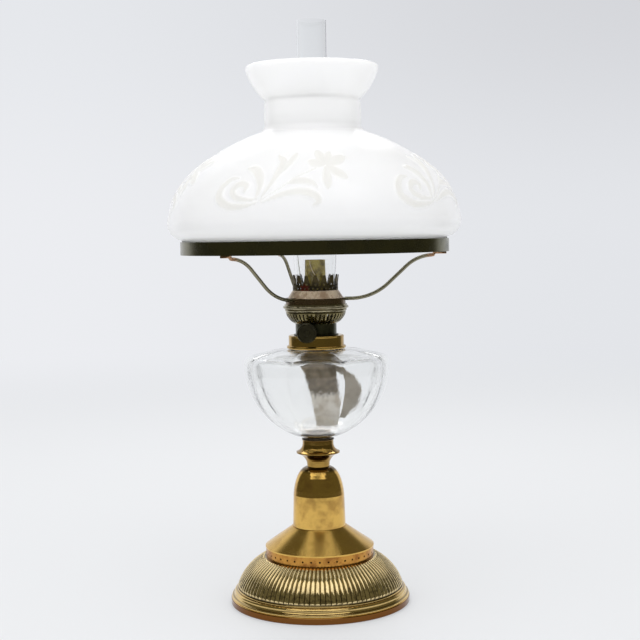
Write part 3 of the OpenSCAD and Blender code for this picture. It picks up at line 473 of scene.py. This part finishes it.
def clearGlass(name, tint, waves, scale):
    material, tree, shader = fresh(name)
    shader.inputs["Base Color"].default_value = (*tint, 1)
    shader.inputs["Transmission Weight"].default_value = 1
    shader.inputs["IOR"].default_value = 1.48
    shader.inputs["Specular IOR Level"].default_value = 0.35
    age = ageIn(tree, scale, 0.35)
    roughness = sums(tree, "MULTIPLY_ADD", age.outputs[1], 0.015, 0.0)
    join(tree, roughness, shader.inputs["Roughness"])
    bumpOn(tree, shader, age.outputs[0], waves, 0.0006)
    return material


finishes["fontGlass"] = clearGlass("pressedGlass", (0.995, 1.0, 0.995), 0.1, 60.0)
finishes["chimneyGlass"] = clearGlass("blownGlass", (0.995, 1.0, 1.0), 0.03, 30.0)


# faint patches, a warmer tone low on the shade and a greyer one on the ornament
opal = {"tone": (0.99, 0.99, 0.975), "patch": (0.975, 0.975, 0.958), "patches": 0.25,
        "low": (0.95, 0.945, 0.9), "lowSpan": (356, 328), "relief": (0.785, 0.778, 0.75),
        "rough": 0.25, "reliefRough": 0.2, "depth": 0.008, "depthTint": (1.0, 1.0, 0.97)}


def opalGlass():
    material, tree, shader = fresh("opalGlass")
    age = ageIn(tree, 16.0, 1.0)
    relief = pieceValue(tree, "relief")
    colour = blendColour(tree, sums(tree, "MULTIPLY", age.outputs[0], opal["patches"]), opal["tone"], opal["patch"])
    low, high = opal["lowSpan"]
    colour = blendColour(tree, span(tree, heightIn(tree), low * mm, high * mm), colour, opal["low"])
    colour = blendColour(tree, relief, colour, opal["relief"])
    join(tree, colour, shader.inputs["Base Color"])
    roughness = sums(tree, "MULTIPLY_ADD", relief, opal["reliefRough"], opal["rough"])
    join(tree, roughness, shader.inputs["Roughness"])
    shader.inputs["Subsurface Weight"].default_value = 1.0
    shader.inputs["Subsurface Radius"].default_value = opal["depthTint"]
    shader.inputs["Subsurface Scale"].default_value = opal["depth"]
    bumpOn(tree, shader, age.outputs[0], 0.02, 0.0005)
    return material


finishes["opal"] = opalGlass()


# woven cotton on the strip's own UV map: threads are counted across and along
# and the cotton is darker above a given height
def wickCotton(name, across, along, tone, stain, darkerFrom):
    material, tree, shader = fresh(name)
    u, v = placeIn(tree, "UV")[:2]
    warp = sums(tree, "SINE", sums(tree, "MULTIPLY", u, across * math.pi))
    weft = sums(tree, "SINE", sums(tree, "MULTIPLY", v, along * math.pi))
    weave = sums(tree, "MULTIPLY_ADD", sums(tree, "MULTIPLY", warp, weft), 0.5, 0.5)
    age = ageIn(tree, 70.0, 0.4)
    level = sums(tree, "MULTIPLY_ADD", age.outputs[2], 0.02, heightIn(tree))
    tone = blendColour(tree, span(tree, level, darkerFrom, darkerFrom + 0.005), tone, (0.125, 0.09, 0.046))
    colour = blendColour(tree, sums(tree, "MULTIPLY", age.outputs[0], 0.7), tone, stain)
    colour = blendColour(tree, span(tree, weave, 0.6, 0.1, 0.0, 0.3), colour, tuple(0.4 * c for c in stain))
    join(tree, colour, shader.inputs["Base Color"])
    join(tree, span(tree, weave, 0.0, 1.0, 0.95, 0.8), shader.inputs["Roughness"])
    bumpOn(tree, shader, weave, 0.5, 0.0003)
    return material


finishes["wick"] = wickCotton("wickCotton", 26, 60, (0.92, 0.86, 0.76), (0.5, 0.4, 0.27), 0.195)
finishes["wickBack"] = wickCotton("wickCottonBack", 16, 60, (0.56, 0.5, 0.4), (0.36, 0.29, 0.2), 0.226)


def plasterFinish():
    material, tree, shader = fresh("bedPlaster")
    age = ageIn(tree, 90.0, 1.0)
    colour = blendColour(tree, age.outputs[0], (0.62, 0.58, 0.5), (0.48, 0.44, 0.36))
    join(tree, colour, shader.inputs["Base Color"])
    join(tree, span(tree, age.outputs[2], 0.3, 0.7, 0.75, 0.95), shader.inputs["Roughness"])
    return material


finishes["plaster"] = plasterFinish()
print("finishes ready:", len(finishes))

nodeFinish = {
    "footRim": ["foot_rim"],
    "cone": ["cone_shoulder"],
    "stem": ["domed_stem"],
    "cup": ["font_cup"],
    "band": ["punched_band"],
    "iron": ["base_weight"],
    "steel": ["tie_rod", "tie_nut", "tie_washer"],
    "plaster": ["cup_plaster", "collar_plaster"],
    "collar": ["font_collar"],
    "burner": ["air_basket", "winder_spindle"],
    "rim": ["basket_rim"],
    "screwCup": ["screw_cup"],
    "gallery": ["gallery"],
    "crown": ["gallery_crown"],
    "tube": ["wick_tube", "draught_tube", "spindle_bushes", "spur_wheels"],
    "knob": ["winder_knob"],
    "chimneyGlass": ["chimney"],
    "carrier": ["shade_ring"],
    "carrierBrown": ["carrier_ring"],
}
for finishName, nodeNames in nodeFinish.items():
    for nodeName in nodeNames:
        cad[nodeName].data.materials.clear()
        cad[nodeName].data.materials.append(finishes[finishName])
print("CAD nodes dressed")


# gadrooned dome

dome = {"foot": (73.8, 14.4), "top": (49.4, 41.2), "swell": 4.0, "wall": 1.2, "flat": 10.0,
        "ribs": 100, "ribSteps": 10, "ribHeight": 0.9, "rows": 26, "archFrom": 0.9, "footEnd": 0.05}


def makeDome():
    face = arcTo(dome["foot"], dome["top"], dome["swell"], dome["rows"])
    topR, topZ = dome["top"]
    flatR, underZ = topR - dome["flat"], topZ - dome["wall"]
    inside = movedLeft(arcTo(dome["foot"], (topR, underZ), dome["swell"], 6), dome["wall"])
    loop = face + [(flatR, topZ), (flatR, underZ), (inside[6][0], underZ)]
    loop += inside[5:0:-1] + [(dome["foot"][0] - dome["wall"], dome["foot"][1])]
    piece = turnOnLathe("gadroonDome", loop, dome["ribs"] * dome["ribSteps"])
    radius, turn, z = roundOf(piece)
    row, onFace = nearestRow(radius, z, face)
    along = row / dome["rows"]
    across = (turn / (2 * math.pi) * dome["ribs"]) % 1 * 2 - 1
    arch = np.clip((along - dome["archFrom"]) / (1 - dome["archFrom"]), 0, 1)
    low = np.clip(1 - along / dome["footEnd"], 0, 1)
    rise = np.sqrt(np.clip(1 - across ** 2 - arch ** 2 - low ** 2, 0, 1)) * onFace
    raiseFrom(piece, face, row, rise * dome["ribHeight"])
    pointValues(piece, "groove", np.where(onFace, (1 - rise) ** 3, 0))
    smoothBelow(piece, 60)
    settle(piece, "stand", "foot_brass", finishes["gadroons"], "gadrooned_dome")


makeDome()


# glass font

font = {"stubR": 11.4, "stubZ": 140.6, "cupZ": 147.6, "foot": (15.9, 148.4), "side": (65.0, 208.6), "swell": 11.4,
        "edge": (65.0, 213.6), "edgeSwell": 2.6, "shoulder": (56.5, 223.1), "midRise": 3.0,
        "neckFoot": (27.0, 227.3), "neckR": 22.9, "neckInR": 20.2, "neckTop": 238.1, "wall": 2.2, "floor": 153.2,
        "lobes": 8, "lobeSteps": 28, "depth": 0.06, "footDepth": 0.1, "dip": 2.4, "inside": 0.75, "turn": 22.5,
        "sharpness": 2.2}


# pressed glass: the lobes are weaker inside
# each level holds radius, height and its shares of the crease's depth and dip
def fontLevels():
    f = font
    levels = [(0, f["stubZ"], 0, 0), (f["stubR"], f["stubZ"], 0, 0), (f["stubR"], f["cupZ"] + 0.4, 0, 0)]
    bowl = arcTo(f["foot"], f["side"], f["swell"], 24)
    corner = arcTo(f["edge"], f["shoulder"], f["edgeSwell"], 8)
    mid = ((f["shoulder"][0] + f["neckFoot"][0]) / 2, f["shoulder"][1] + f["midRise"])
    top = arcTo(f["shoulder"], mid, 0.4, 5)[1:] + arcTo(mid, f["neckFoot"], 0.2, 4)[1:]
    outer = bowl + corner + top
    fade = list(1 - ease(np.arange(1, len(top) + 1) / len(top)))
    deepen = ease(np.arange(len(bowl)) / (len(bowl) - 1))
    depths = list(f["footDepth"] + (1 - f["footDepth"]) * deepen) + [1.0] * len(corner) + fade
    dips = [0.0] * len(bowl) + list(ease(np.arange(len(corner)) / (len(corner) - 1))) + fade
    levels += [(p[0], p[1], a, b) for p, a, b in zip(outer, depths, dips)]
    levels += [(f["neckR"], f["neckFoot"][1] + 0.4, 0, 0), (f["neckR"], f["neckTop"], 0, 0)]
    levels += [(f["neckInR"], f["neckTop"], 0, 0), (f["neckInR"], f["neckFoot"][1] - 2.0, 0, 0)]
    lost = 1 - f["inside"]
    creased = [(p[0] * (1 - f["depth"] * a * lost), p[1] - f["dip"] * b * lost)
               for p, a, b in zip(outer, depths, dips)]
    inner = movedLeft(creased, f["wall"])
    back = range(len(inner) - 2, 2, -1)
    levels += [(inner[i][0], inner[i][1], depths[i] * f["inside"], dips[i] * f["inside"]) for i in back]
    return levels + [(f["stubR"], f["floor"], 0, 0), (0, f["floor"], 0, 0)]


def makeFont():
    levels = np.array(fontLevels())
    piece = turnOnLathe("lobedFont", levels[:, :2], font["lobes"] * font["lobeSteps"])
    radius, turn, z = roundOf(piece)
    row = nearestRow(radius, z, levels)[0]
    across = ((np.degrees(turn) - font["turn"]) / 360 * font["lobes"]) % 1 * 2 - 1
    crease = np.abs(across) ** font["sharpness"]
    depth, dip = levels[row, 2] * font["depth"], levels[row, 3] * font["dip"]
    setRound(piece, radius * (1 - depth * crease), turn, z - dip * crease)
    smoothBelow(piece, 50)
    settle(piece, "stand", "font_glass", finishes["fontGlass"], "glass_font", "font_neck")


makeFont()


# opal shade, with a traditional scroll and flower in low relief

shade = {"fitter": 117.4, "foot": 313.8, "belly": 325.8, "widest": (130.0, 341.3), "turn": (103.4, 388.3),
         "neck": (42.6, 425.3), "crease": (41.5, 447.3), "rim": (59.2, 476.5), "wall": 3.6, "fillet": 8.0,
         "steps": 840, "repeats": 5, "repeatFrom": -48, "reliefZone": (342, 402), "reliefHeight": 0.7,
         "edgeSteepness": 2.2, "hollow": 0.45}
# strokes of the ornament: (degrees from the front, height in mm, half width in mm) along each one
ornament = [
    [(-20.5, 355.5, 0.9), (-26, 352.5, 2.8), (-32.5, 353, 4.6), (-37.5, 359.5, 5.2), (-37.6, 368, 4.4),
     (-34.6, 374.5, 3.0), (-31, 375.5, 1.2)],
    [(-21, 358.5, 1.2), (-25, 357.5, 2.6), (-30, 360, 3.8), (-32, 365.5, 3.9), (-29.6, 370.5, 3.8),
     (-26.4, 369.5, 3.4), (-26.6, 365.5, 2.4)],
    [(-21.5, 359, 1.2), (-20.6, 367, 3.4), (-21.6, 375.5, 5.2), (-24.8, 382, 4.6), (-28.6, 383.5, 1.1)],
    [(-19.5, 358.5, 1.0), (-16.8, 368.5, 2.4), (-14.2, 379.5, 4.0), (-13.2, 388, 4.6), (-16.5, 393.5, 1.2)],
    [(-14.5, 376, 1.0), (-11, 384, 2.8), (-9, 391, 3.6), (-7.5, 395.5, 1.2)],
    [(-20, 356.5, 1.0), (-13, 366, 1.3), (-6, 375.5, 1.5), (1, 382, 1.2)],
    [(-19, 355.2, 1.0), (-12, 361, 3.0), (-5, 363.5, 4.2), (0, 361, 4.6), (2, 355.8, 3.4), (0, 352.5, 1.2)],
    [(-10, 369.5, 1.0), (-5.5, 372, 3.6), (-1, 370.8, 3.6), (1.5, 366.8, 1.3)],
]
# petals: (angle in degrees, length in mm, half width in mm); form: shares of length and half width along one
flower = {"at": (5.2, 384.5), "mmPerDegree": 2.05,
          "form": ((0.1, 0.3), (0.35, 0.8), (0.62, 1.0), (0.85, 0.7), (1.0, 0.2)),
          "petals": [(118, 14, 6.2), (62, 13, 4.6), (20, 21, 6.0), (-32, 20, 5.6), (-88, 19, 5.6), (168, 15, 5.2)]}


def smoothStroke(points):
    p = np.array(points, float)
    p = np.vstack([2 * p[0] - p[1], p, 2 * p[-1] - p[-2]])
    line = []
    for i in range(1, len(p) - 2):
        for t in np.linspace(0, 1, 10, endpoint=False):
            a, b, c, d = p[i - 1:i + 3]
            line.append(0.5 * (2 * b + (c - a) * t + (2 * a - 5 * b + 4 * c - d) * t * t
                               + (3 * b - a - 3 * c + d) * t ** 3))
    line.append(p[-2])
    return np.array(line)


def petalStrokes():
    strokes = []
    for angle, length, half in flower["petals"]:
        stroke = []
        for t, w in flower["form"]:
            dx, dz = length * t * math.cos(math.radians(angle)), length * t * math.sin(math.radians(angle))
            stroke.append((flower["at"][0] + dx / flower["mmPerDegree"], flower["at"][1] + dz, half * w))
        strokes.append(stroke)
    return strokes


# how far inside a stroke each point is: 1 on its middle line, 0 at its edge
def reliefAt(degrees, height, radius):
    inside = np.zeros(len(degrees))
    for stroke in ornament + petalStrokes():
        line = smoothStroke(stroke)
        x = np.radians(degrees[:, None] - line[None, :, 0]) * radius[:, None]
        reach = 1 - np.hypot(x, height[:, None] - line[None, :, 1]) / line[None, :, 2]
        inside = np.maximum(inside, reach.max(1))
    return np.clip(inside, 0, 1)


def shadeOuter():
    s = shade
    filletFrom = (s["neck"][0] + s["fillet"], s["neck"][1] - 0.9 * s["fillet"])
    brow = (s["neck"][0], s["crease"][1] - 6)
    path = [(s["fitter"], s["foot"] + 0.6), (s["fitter"], s["belly"])]
    path += arcTo((s["fitter"], s["belly"]), s["widest"], 4, 6)
    crown = arcTo(s["turn"], filletFrom, 2.6, 40)
    path += arcTo(s["widest"], s["turn"], 5.6, 42) + crown[:13] + crown[16::4]
    path += arcTo(filletFrom, s["neck"], -1.6, 4) + arcTo(s["neck"], brow, 0.4, 3)
    path += arcTo(brow, s["crease"], 0.6, 3) + arcTo(s["crease"], s["rim"], 2.6, 8)
    return withoutRepeats(path)


def makeShade():
    outer = shadeOuter()
    inner = movedLeft(outer, shade["wall"])
    wallIn = inner[len(inner) - 1::-5] + inner[:1]
    lip = [outer[-1] + np.array([-0.5, -0.5]), (outer[-1] + inner[-1]) / 2 + np.array([0.15, 0.35])]
    piece = turnOnLathe("opalShade", outer[:-1] + lip + wallIn, shade["steps"])
    radius, turn, z = roundOf(piece)
    row, onFace = nearestRow(radius, z, outer)
    zone = onFace & (z > shade["reliefZone"][0]) & (z < shade["reliefZone"][1])
    start = shade["repeatFrom"]
    degrees = (np.degrees(turn) + 90 - start) % (360 / shade["repeats"]) + start
    relief = np.zeros(len(z))
    relief[zone] = reliefAt(degrees[zone], z[zone], radius[zone])
    rise = np.minimum(1, relief * shade["edgeSteepness"]) - shade["hollow"] * ease(relief * 1.5 - 0.5)
    raiseFrom(piece, outer, row, rise * shade["reliefHeight"])
    pointValues(piece, "relief", ease((relief - 0.1) * 2.6))
    smoothBelow(piece, 80)
    settle(piece, "shade", "opal_glass", finishes["opal"],
           "shade_fitter", "shade_bowl", "shade_dome", "shade_neck", "shade_flare")


makeShade()


# bent arms of the shade carrier

arm = {"start": (26.75, 272.3), "lead": 5.0, "end": 117.1, "ringZ": 312.9, "rod": 1.6, "sink": 1.4,
       "padLength": 10.0, "padWidth": 6.4, "padThick": 2.0, "padLead": 1.5, "padGrowth": 3.0, "tip": 3.2,
       "lowBend": 50.0, "highBend": 35.0, "carrierR": 26.7, "angles": (109, 229, 349)}


# along the arm, in the plane it is bent in: two bends with a straight between, then a flat pad under the ring
def armPath():
    lowR, highR = arm["carrierR"] + arm["lead"], arm["end"] - arm["padLength"] - arm["padLead"]
    endZ, z0 = arm["ringZ"] - arm["rod"] - arm["sink"], arm["start"][1]
    low, high = arm["lowBend"], arm["highBend"]
    run, rise = highR - lowR, endZ - z0
    straight = math.sqrt(run ** 2 + (rise - low - high) ** 2 - (low + high) ** 2)
    slope = math.atan2(rise - low - high, run) + math.atan2(low + high, straight)
    turns = np.linspace(0, slope, 15)
    path = [arm["start"]]
    path += [(lowR + low * math.sin(t), z0 + low * (1 - math.cos(t))) for t in turns]
    path += [(highR - high * math.sin(t), endZ - high * (1 - math.cos(t))) for t in turns[::-1]]
    padZ = arm["ringZ"] - arm["padThick"] / 2
    path += [(highR + t * arm["padLead"], endZ + (padZ - endZ) * t) for t in (0.35, 0.7)]
    return path + [(arm["end"] - arm["padLength"] * s, padZ) for s in (1, 0.75, 0.5, 0.25, 0)]


def makeArm(number, degrees):
    path = armPath()
    piece = rodAlong(f"bentArm{number}", [(r, 0, z) for r, z in path], arm["rod"], 4)
    bpy.ops.object.mode_set(mode="EDIT")
    bpy.ops.mesh.select_all(action="SELECT")
    bpy.ops.mesh.remove_doubles(threshold=1e-6)
    bpy.ops.mesh.normals_make_consistent(inside=False)
    bpy.ops.object.mode_set(mode="OBJECT")
    x, y, z = (coordsOf(piece) / mm).T
    middle = np.interp(x, *np.array(path).T)
    flat = ease((x - (arm["end"] - arm["padLength"] - arm["padLead"])) / arm["padGrowth"])
    up = z - middle
    flatUp = np.clip(up * 1.6, -arm["padThick"] / 2, arm["padThick"] / 2)
    tip = np.clip((x - (arm["end"] - arm["tip"])) / arm["tip"], 0, 1)
    y = y * (1 + flat * (arm["padWidth"] / 2 / arm["rod"] - 1)) * np.sqrt(1 - 0.8 * tip ** 2)
    turn = math.radians(degrees)
    setCoords(piece, np.stack([x * math.cos(turn) - y * math.sin(turn), x * math.sin(turn) + y * math.cos(turn),
                               z + (flatUp - up) * flat], 1) * mm)
    smoothBelow(piece, 40)
    settle(piece, "shade_carrier", "carrier_metal", finishes["arms"], f"carrier_arm_{number}")


for number, degrees in enumerate(arm["angles"], 1):
    makeArm(number, degrees)


# wick: a woven sleeve in the burner and two tails in the font

wick = {"outR": 7.9, "thick": 2.2, "foot": 226.1, "top": 305.4, "slotWidth": 6.6, "slotTop": 264.1, "slotTurn": 7.0,
        "fray": 0.12, "tailR": 16.8, "tailArc": 78, "tailLean": 0.85, "ripple": 0.35, "ragged": 0.7}


def grid(name, columns, rows):
    clearSelection()
    bpy.ops.mesh.primitive_grid_add(x_subdivisions=columns, y_subdivisions=rows, size=1)
    piece = bpy.context.object
    piece.name = name
    co = coordsOf(piece)
    return piece, co[:, 0] + 0.5, co[:, 1] + 0.5


def thicken(piece, amount):
    solid = piece.modifiers.new("thickness", "SOLIDIFY")
    solid.thickness = amount * mm
    solid.offset = 0
    selectOnly(piece)
    bpy.ops.object.modifier_apply(modifier=solid.name)


def makeSleeve():
    piece, u, v = grid("wickSleeve", 72, 64)
    r = wick["outR"] - wick["thick"] / 2
    turn = np.radians(wick["slotTurn"]) + u * 2 * math.pi
    z = wick["foot"] + v * (wick["top"] - wick["foot"])
    fray = wick["fray"] * np.sin(turn * 31) * (v > 0.99)
    setCoords(piece, np.stack([r * np.cos(turn), r * np.sin(turn), z - np.abs(fray)], 1) * mm)
    bpy.ops.object.mode_set(mode="EDIT")
    bpy.ops.mesh.select_all(action="SELECT")
    bpy.ops.mesh.remove_doubles(threshold=1e-6)
    bpy.ops.mesh.select_all(action="DESELECT")
    bpy.ops.object.mode_set(mode="OBJECT")
    away = math.radians(wick["slotTurn"])
    for face in piece.data.polygons:
        x, y, z = face.center / mm
        along = x * math.cos(away) + y * math.sin(away)
        beside = abs(y * math.cos(away) - x * math.sin(away))
        face.select = along > 0 and beside < wick["slotWidth"] / 2 + 0.3 and z < wick["slotTop"] + 0.5
    bpy.ops.object.mode_set(mode="EDIT")
    bpy.ops.mesh.delete(type="FACE")
    bpy.ops.mesh.select_all(action="SELECT")
    bpy.ops.mesh.normals_make_consistent(inside=False)
    bpy.ops.object.mode_set(mode="OBJECT")
    thicken(piece, wick["thick"] - 0.2)
    smoothBelow(piece, 50)
    settle(piece, "wick", "wick_cotton", finishes["wick"], "wick_sleeve")


# each shape gives width and sideways drift in mm at shares of the way down
tails = {
    "wickTailFront": {"end": 158.2, "turn": 0, "down": (0, 0.25, 0.5, 0.75, 1), "width": (28, 27, 24, 22, 20),
                      "drift": (0, 2, 5, 7.5, 9)},
    "wickTailBack": {"end": 162.2, "turn": 180, "down": (0, 0.16, 0.24, 0.37, 0.56, 0.8, 1),
                     "width": (14, 11, 11, 16, 17, 14, 7), "drift": (0, -6, -14, -28, -34, -31, -22)},
}


def makeTail(name, shape):
    piece, u, v = grid(name, 28, 60)
    startR = wick["outR"] - wick["thick"] / 2
    opened = ease(np.minimum(1, v * 4))
    r = startR + (wick["tailR"] - startR) * opened
    soft = np.linspace(0, 1, 61)
    smooth = np.hanning(11) / np.hanning(11).sum()
    lines = {}
    for key in ("width", "drift"):
        line = np.interp(soft, shape["down"], shape[key])
        padded = np.concatenate([np.full(5, line[0]), line, np.full(5, line[-1])])
        lines[key] = np.interp(v, soft, np.convolve(padded, smooth, "valid"))
    flat = np.arcsin(np.minimum(0.95, lines["width"] / 2 / (r + wick["thick"] / 2)))
    arc = math.radians(wick["tailArc"])
    angle = (arc + (flat - arc) * opened) * (2 * u - 1)
    r = r + wick["ripple"] * np.sin(9 * v + 3 * u) * opened
    x = lines["drift"] + r * np.sin(angle)
    y = (wick["tailR"] - startR) * opened * wick["tailLean"] - r * np.cos(angle)
    ragged = wick["ragged"] * np.sin(u * 17) * ease((v - 0.96) * 25)
    z = wick["foot"] + 0.3 + (shape["end"] - wick["foot"]) * v + np.abs(ragged)
    turn = math.radians(shape["turn"])
    setCoords(piece, np.stack([x * math.cos(turn) - y * math.sin(turn), x * math.sin(turn) + y * math.cos(turn),
                               z], 1) * mm)
    thicken(piece, wick["thick"] - 0.3)
    smoothBelow(piece, 50)
    return piece


makeSleeve()
frontTail = makeTail("wickTailFront", tails["wickTailFront"])
settle(frontTail, "wick", "wick_cotton", finishes["wick"], "wick_tails")
backTail = makeTail("wickTailBack", tails["wickTailBack"])
settle(backTail, "wick", "wick_cotton", finishes["wickBack"])


# lapped seam on the wick tube

seam = {"thick": 0.36, "footR": 9.6, "footZ": 279.9, "mouthR": 8.9, "mouthZ": 306.9,
        "points": [(-31, 306.4), (-28, 303.0), (-17, 298.2), (0, 293.2), (14, 289.8), (27, 287.0)]}


def makeSeam():
    points = []
    for a, z in smoothStroke(seam["points"]):
        share = (z - seam["footZ"]) / (seam["mouthZ"] - seam["footZ"])
        r = seam["footR"] + (seam["mouthR"] - seam["footR"]) * share + 0.05
        turn = math.radians(a - 90)
        points.append((r * math.cos(turn), r * math.sin(turn), z))
    piece = rodAlong("tubeSeam", points, seam["thick"], 2)
    smoothBelow(piece, 60)
    settle(piece, "burner", "tube_brass", finishes["gallery"])


makeSeam()


# floor, light and camera

# the backdrop tones are painted shade: lighter at the left and near the horizon, darker to the right and overhead
# pairs from sides to overhead are spans over which one tone gives way to the next
stage = {"floorTone": (0.765, 0.772, 0.785), "nearGlow": (0.86, 0.88, 0.91),
         "horizonLeft": (0.838, 0.848, 0.878), "horizonRight": (0.77, 0.785, 0.817),
         "highLeft": (0.79, 0.806, 0.838), "highRight": (0.67, 0.68, 0.71),
         "room": (0.112, 0.108, 0.07), "ambient": (0.92, 0.92, 0.92), "tableR": 0.8, "tableEdge": 0.01, "reach": 30.0,
         "eyeY": 1.2, "sides": (-0.24, 0.24), "far": (0.6, 2.6), "nearGlowShare": 0.35, "behind": (0.5, 0.68),
         "high": (0.0, 0.18), "overhead": (0.55, 0.4), "leftDrop": (-0.35, -0.15, -0.24, 0.0), "glassPale": 0.93}


def makeFloor():
    clearSelection()
    bpy.ops.mesh.primitive_plane_add(size=2 * stage["reach"])
    floor = bpy.context.object
    floor.name = "floor"
    bpy.ops.object.mode_set(mode="EDIT")
    bpy.ops.transform.translate(value=(0, 0, -0.0002))
    bpy.ops.object.mode_set(mode="OBJECT")
    material, tree, shader = fresh("paleFloor")
    shader.inputs["Base Color"].default_value = (*stage["floorTone"], 1)
    shader.inputs["Roughness"].default_value = 0.55
    x, y = placeIn(tree)[:2]
    distance = radiusIn(tree)
    depth = sums(tree, "ABSOLUTE", sums(tree, "ADD", y, stage["eyeY"]))
    aside = span(tree, sums(tree, "DIVIDE", x, depth), *stage["sides"])
    far = span(tree, distance, *stage["far"])
    tone = blendColour(tree, aside, stage["horizonLeft"], stage["horizonRight"])
    tone = blendColour(tree, far, stage["nearGlow"], tone)
    glow = addNode(tree, "ShaderNodeEmission")
    join(tree, tone, glow.inputs[0])
    mixer = addNode(tree, "ShaderNodeMixShader")
    near = stage["nearGlowShare"]
    join(tree, sums(tree, "MULTIPLY_ADD", far, 1 - near, near), mixer.inputs[0])
    join(tree, shader.outputs[0], mixer.inputs[1])
    join(tree, glow.outputs[0], mixer.inputs[2])
    # in the metal the table ends in front and at the sides, and a dim room follows
    ahead = span(tree, sums(tree, "DIVIDE", y, distance), *stage["behind"][::-1])
    edge = span(tree, distance, stage["tableR"] - stage["tableEdge"], stage["tableR"] + stage["tableEdge"])
    past = sums(tree, "MULTIPLY", edge, ahead)
    rays = addNode(tree, "ShaderNodeLightPath")
    dim = addNode(tree, "ShaderNodeEmission")
    dim.inputs[0].default_value = (*stage["room"], 1)
    chosen = addNode(tree, "ShaderNodeMixShader")
    mirrorRay = sums(tree, "MULTIPLY_ADD", rays.outputs["Is Transmission Ray"], -stage["glassPale"],
                     rays.outputs["Is Glossy Ray"])
    join(tree, sums(tree, "MULTIPLY", past, mirrorRay), chosen.inputs[0])
    join(tree, mixer.outputs[0], chosen.inputs[1])
    join(tree, dim.outputs[0], chosen.inputs[2])
    join(tree, chosen.outputs[0], tree.nodes["Material Output"].inputs[0])
    floor.data.materials.append(material)


# the camera sees a pale backdrop, and metal also sees a dim room in front of the table and overhead
def makeWorld():
    world = bpy.data.worlds.new("studio")
    bpy.context.scene.world = world
    world.use_nodes = True
    tree = world.node_tree
    backdrop = tree.nodes["Background"]
    x, y, z = placeIn(tree, "Generated")
    aside = span(tree, x, *stage["sides"])
    low = blendColour(tree, aside, stage["horizonLeft"], stage["horizonRight"])
    high = blendColour(tree, aside, stage["highLeft"], stage["highRight"])
    pale = blendColour(tree, span(tree, z, *stage["high"]), low, high)
    rise = sums(tree, "ADD", z, span(tree, x, *stage["leftDrop"]))
    behind = sums(tree, "MULTIPLY", span(tree, y, *stage["behind"]), span(tree, rise, *stage["overhead"]))
    mirrored = blendColour(tree, behind, stage["room"], pale)
    refracted = blendColour(tree, stage["glassPale"], mirrored, pale)
    rays = addNode(tree, "ShaderNodeLightPath")
    tone = blendColour(tree, rays.outputs["Is Glossy Ray"], stage["ambient"], mirrored)
    tone = blendColour(tree, rays.outputs["Is Transmission Ray"], tone, refracted)
    tone = blendColour(tree, rays.outputs["Is Camera Ray"], tone, pale)
    join(tree, tone, backdrop.inputs[0])
    backdrop.inputs[1].default_value = 1


lamps = {
    "topSoftbox": {"at": (-0.06, 0.12, 1.65), "aim": (0, 0.05, 0.3), "size": (1.0, 1.0), "power": 0.4},
    "frontSoftbox": {"at": (-0.08, -0.8, 1.5), "aim": (0, 0, 0.3), "size": (2.2, 0.85), "power": 6.3},
    "backSoftbox": {"at": (-0.05, 1.15, 1.3), "aim": (0, 0, 0.45), "size": (1.0, 0.5), "power": 5.2},
}


def makeLamps():
    for name, spot in lamps.items():
        light = bpy.data.lights.new(name, "AREA")
        light.shape = "RECTANGLE"
        light.energy = spot["power"]
        light.size, light.size_y = spot["size"]
        holder = bpy.data.objects.new(name, light)
        bpy.context.scene.collection.objects.link(holder)
        holder.location = spot["at"]
        holder.rotation_euler = (Vector(spot["aim"]) - Vector(spot["at"])).to_track_quat("-Z", "Y").to_euler()


view = {"distance": 1.156, "height": 0.3288, "down": 3.75, "lens": 72.96, "aside": 0.0036, "roll": 0.95}


def makeCamera():
    lens = bpy.data.cameras.new("photoCamera")
    lens.lens = view["lens"]
    lens.sensor_width = 36
    holder = bpy.data.objects.new("photoCamera", lens)
    bpy.context.scene.collection.objects.link(holder)
    holder.location = (view["aside"], -view["distance"], view["height"])
    tilt = math.radians(90 - view["down"])
    turn = Matrix.Rotation(tilt, 3, "X") @ Matrix.Rotation(math.radians(-view["roll"]), 3, "Z")
    holder.rotation_euler = turn.to_euler()
    bpy.context.scene.camera = holder


makeFloor()
makeWorld()
makeLamps()
makeCamera()
bpy.context.scene.view_settings.view_transform = "Standard"
# light runs far round the lobed glass before it leaves
if hasattr(bpy.context.scene, "cycles"):
    bpy.context.scene.cycles.max_bounces = 24
    bpy.context.scene.cycles.glossy_bounces = 12
    bpy.context.scene.cycles.transmission_bounces = 24
print("stage set")
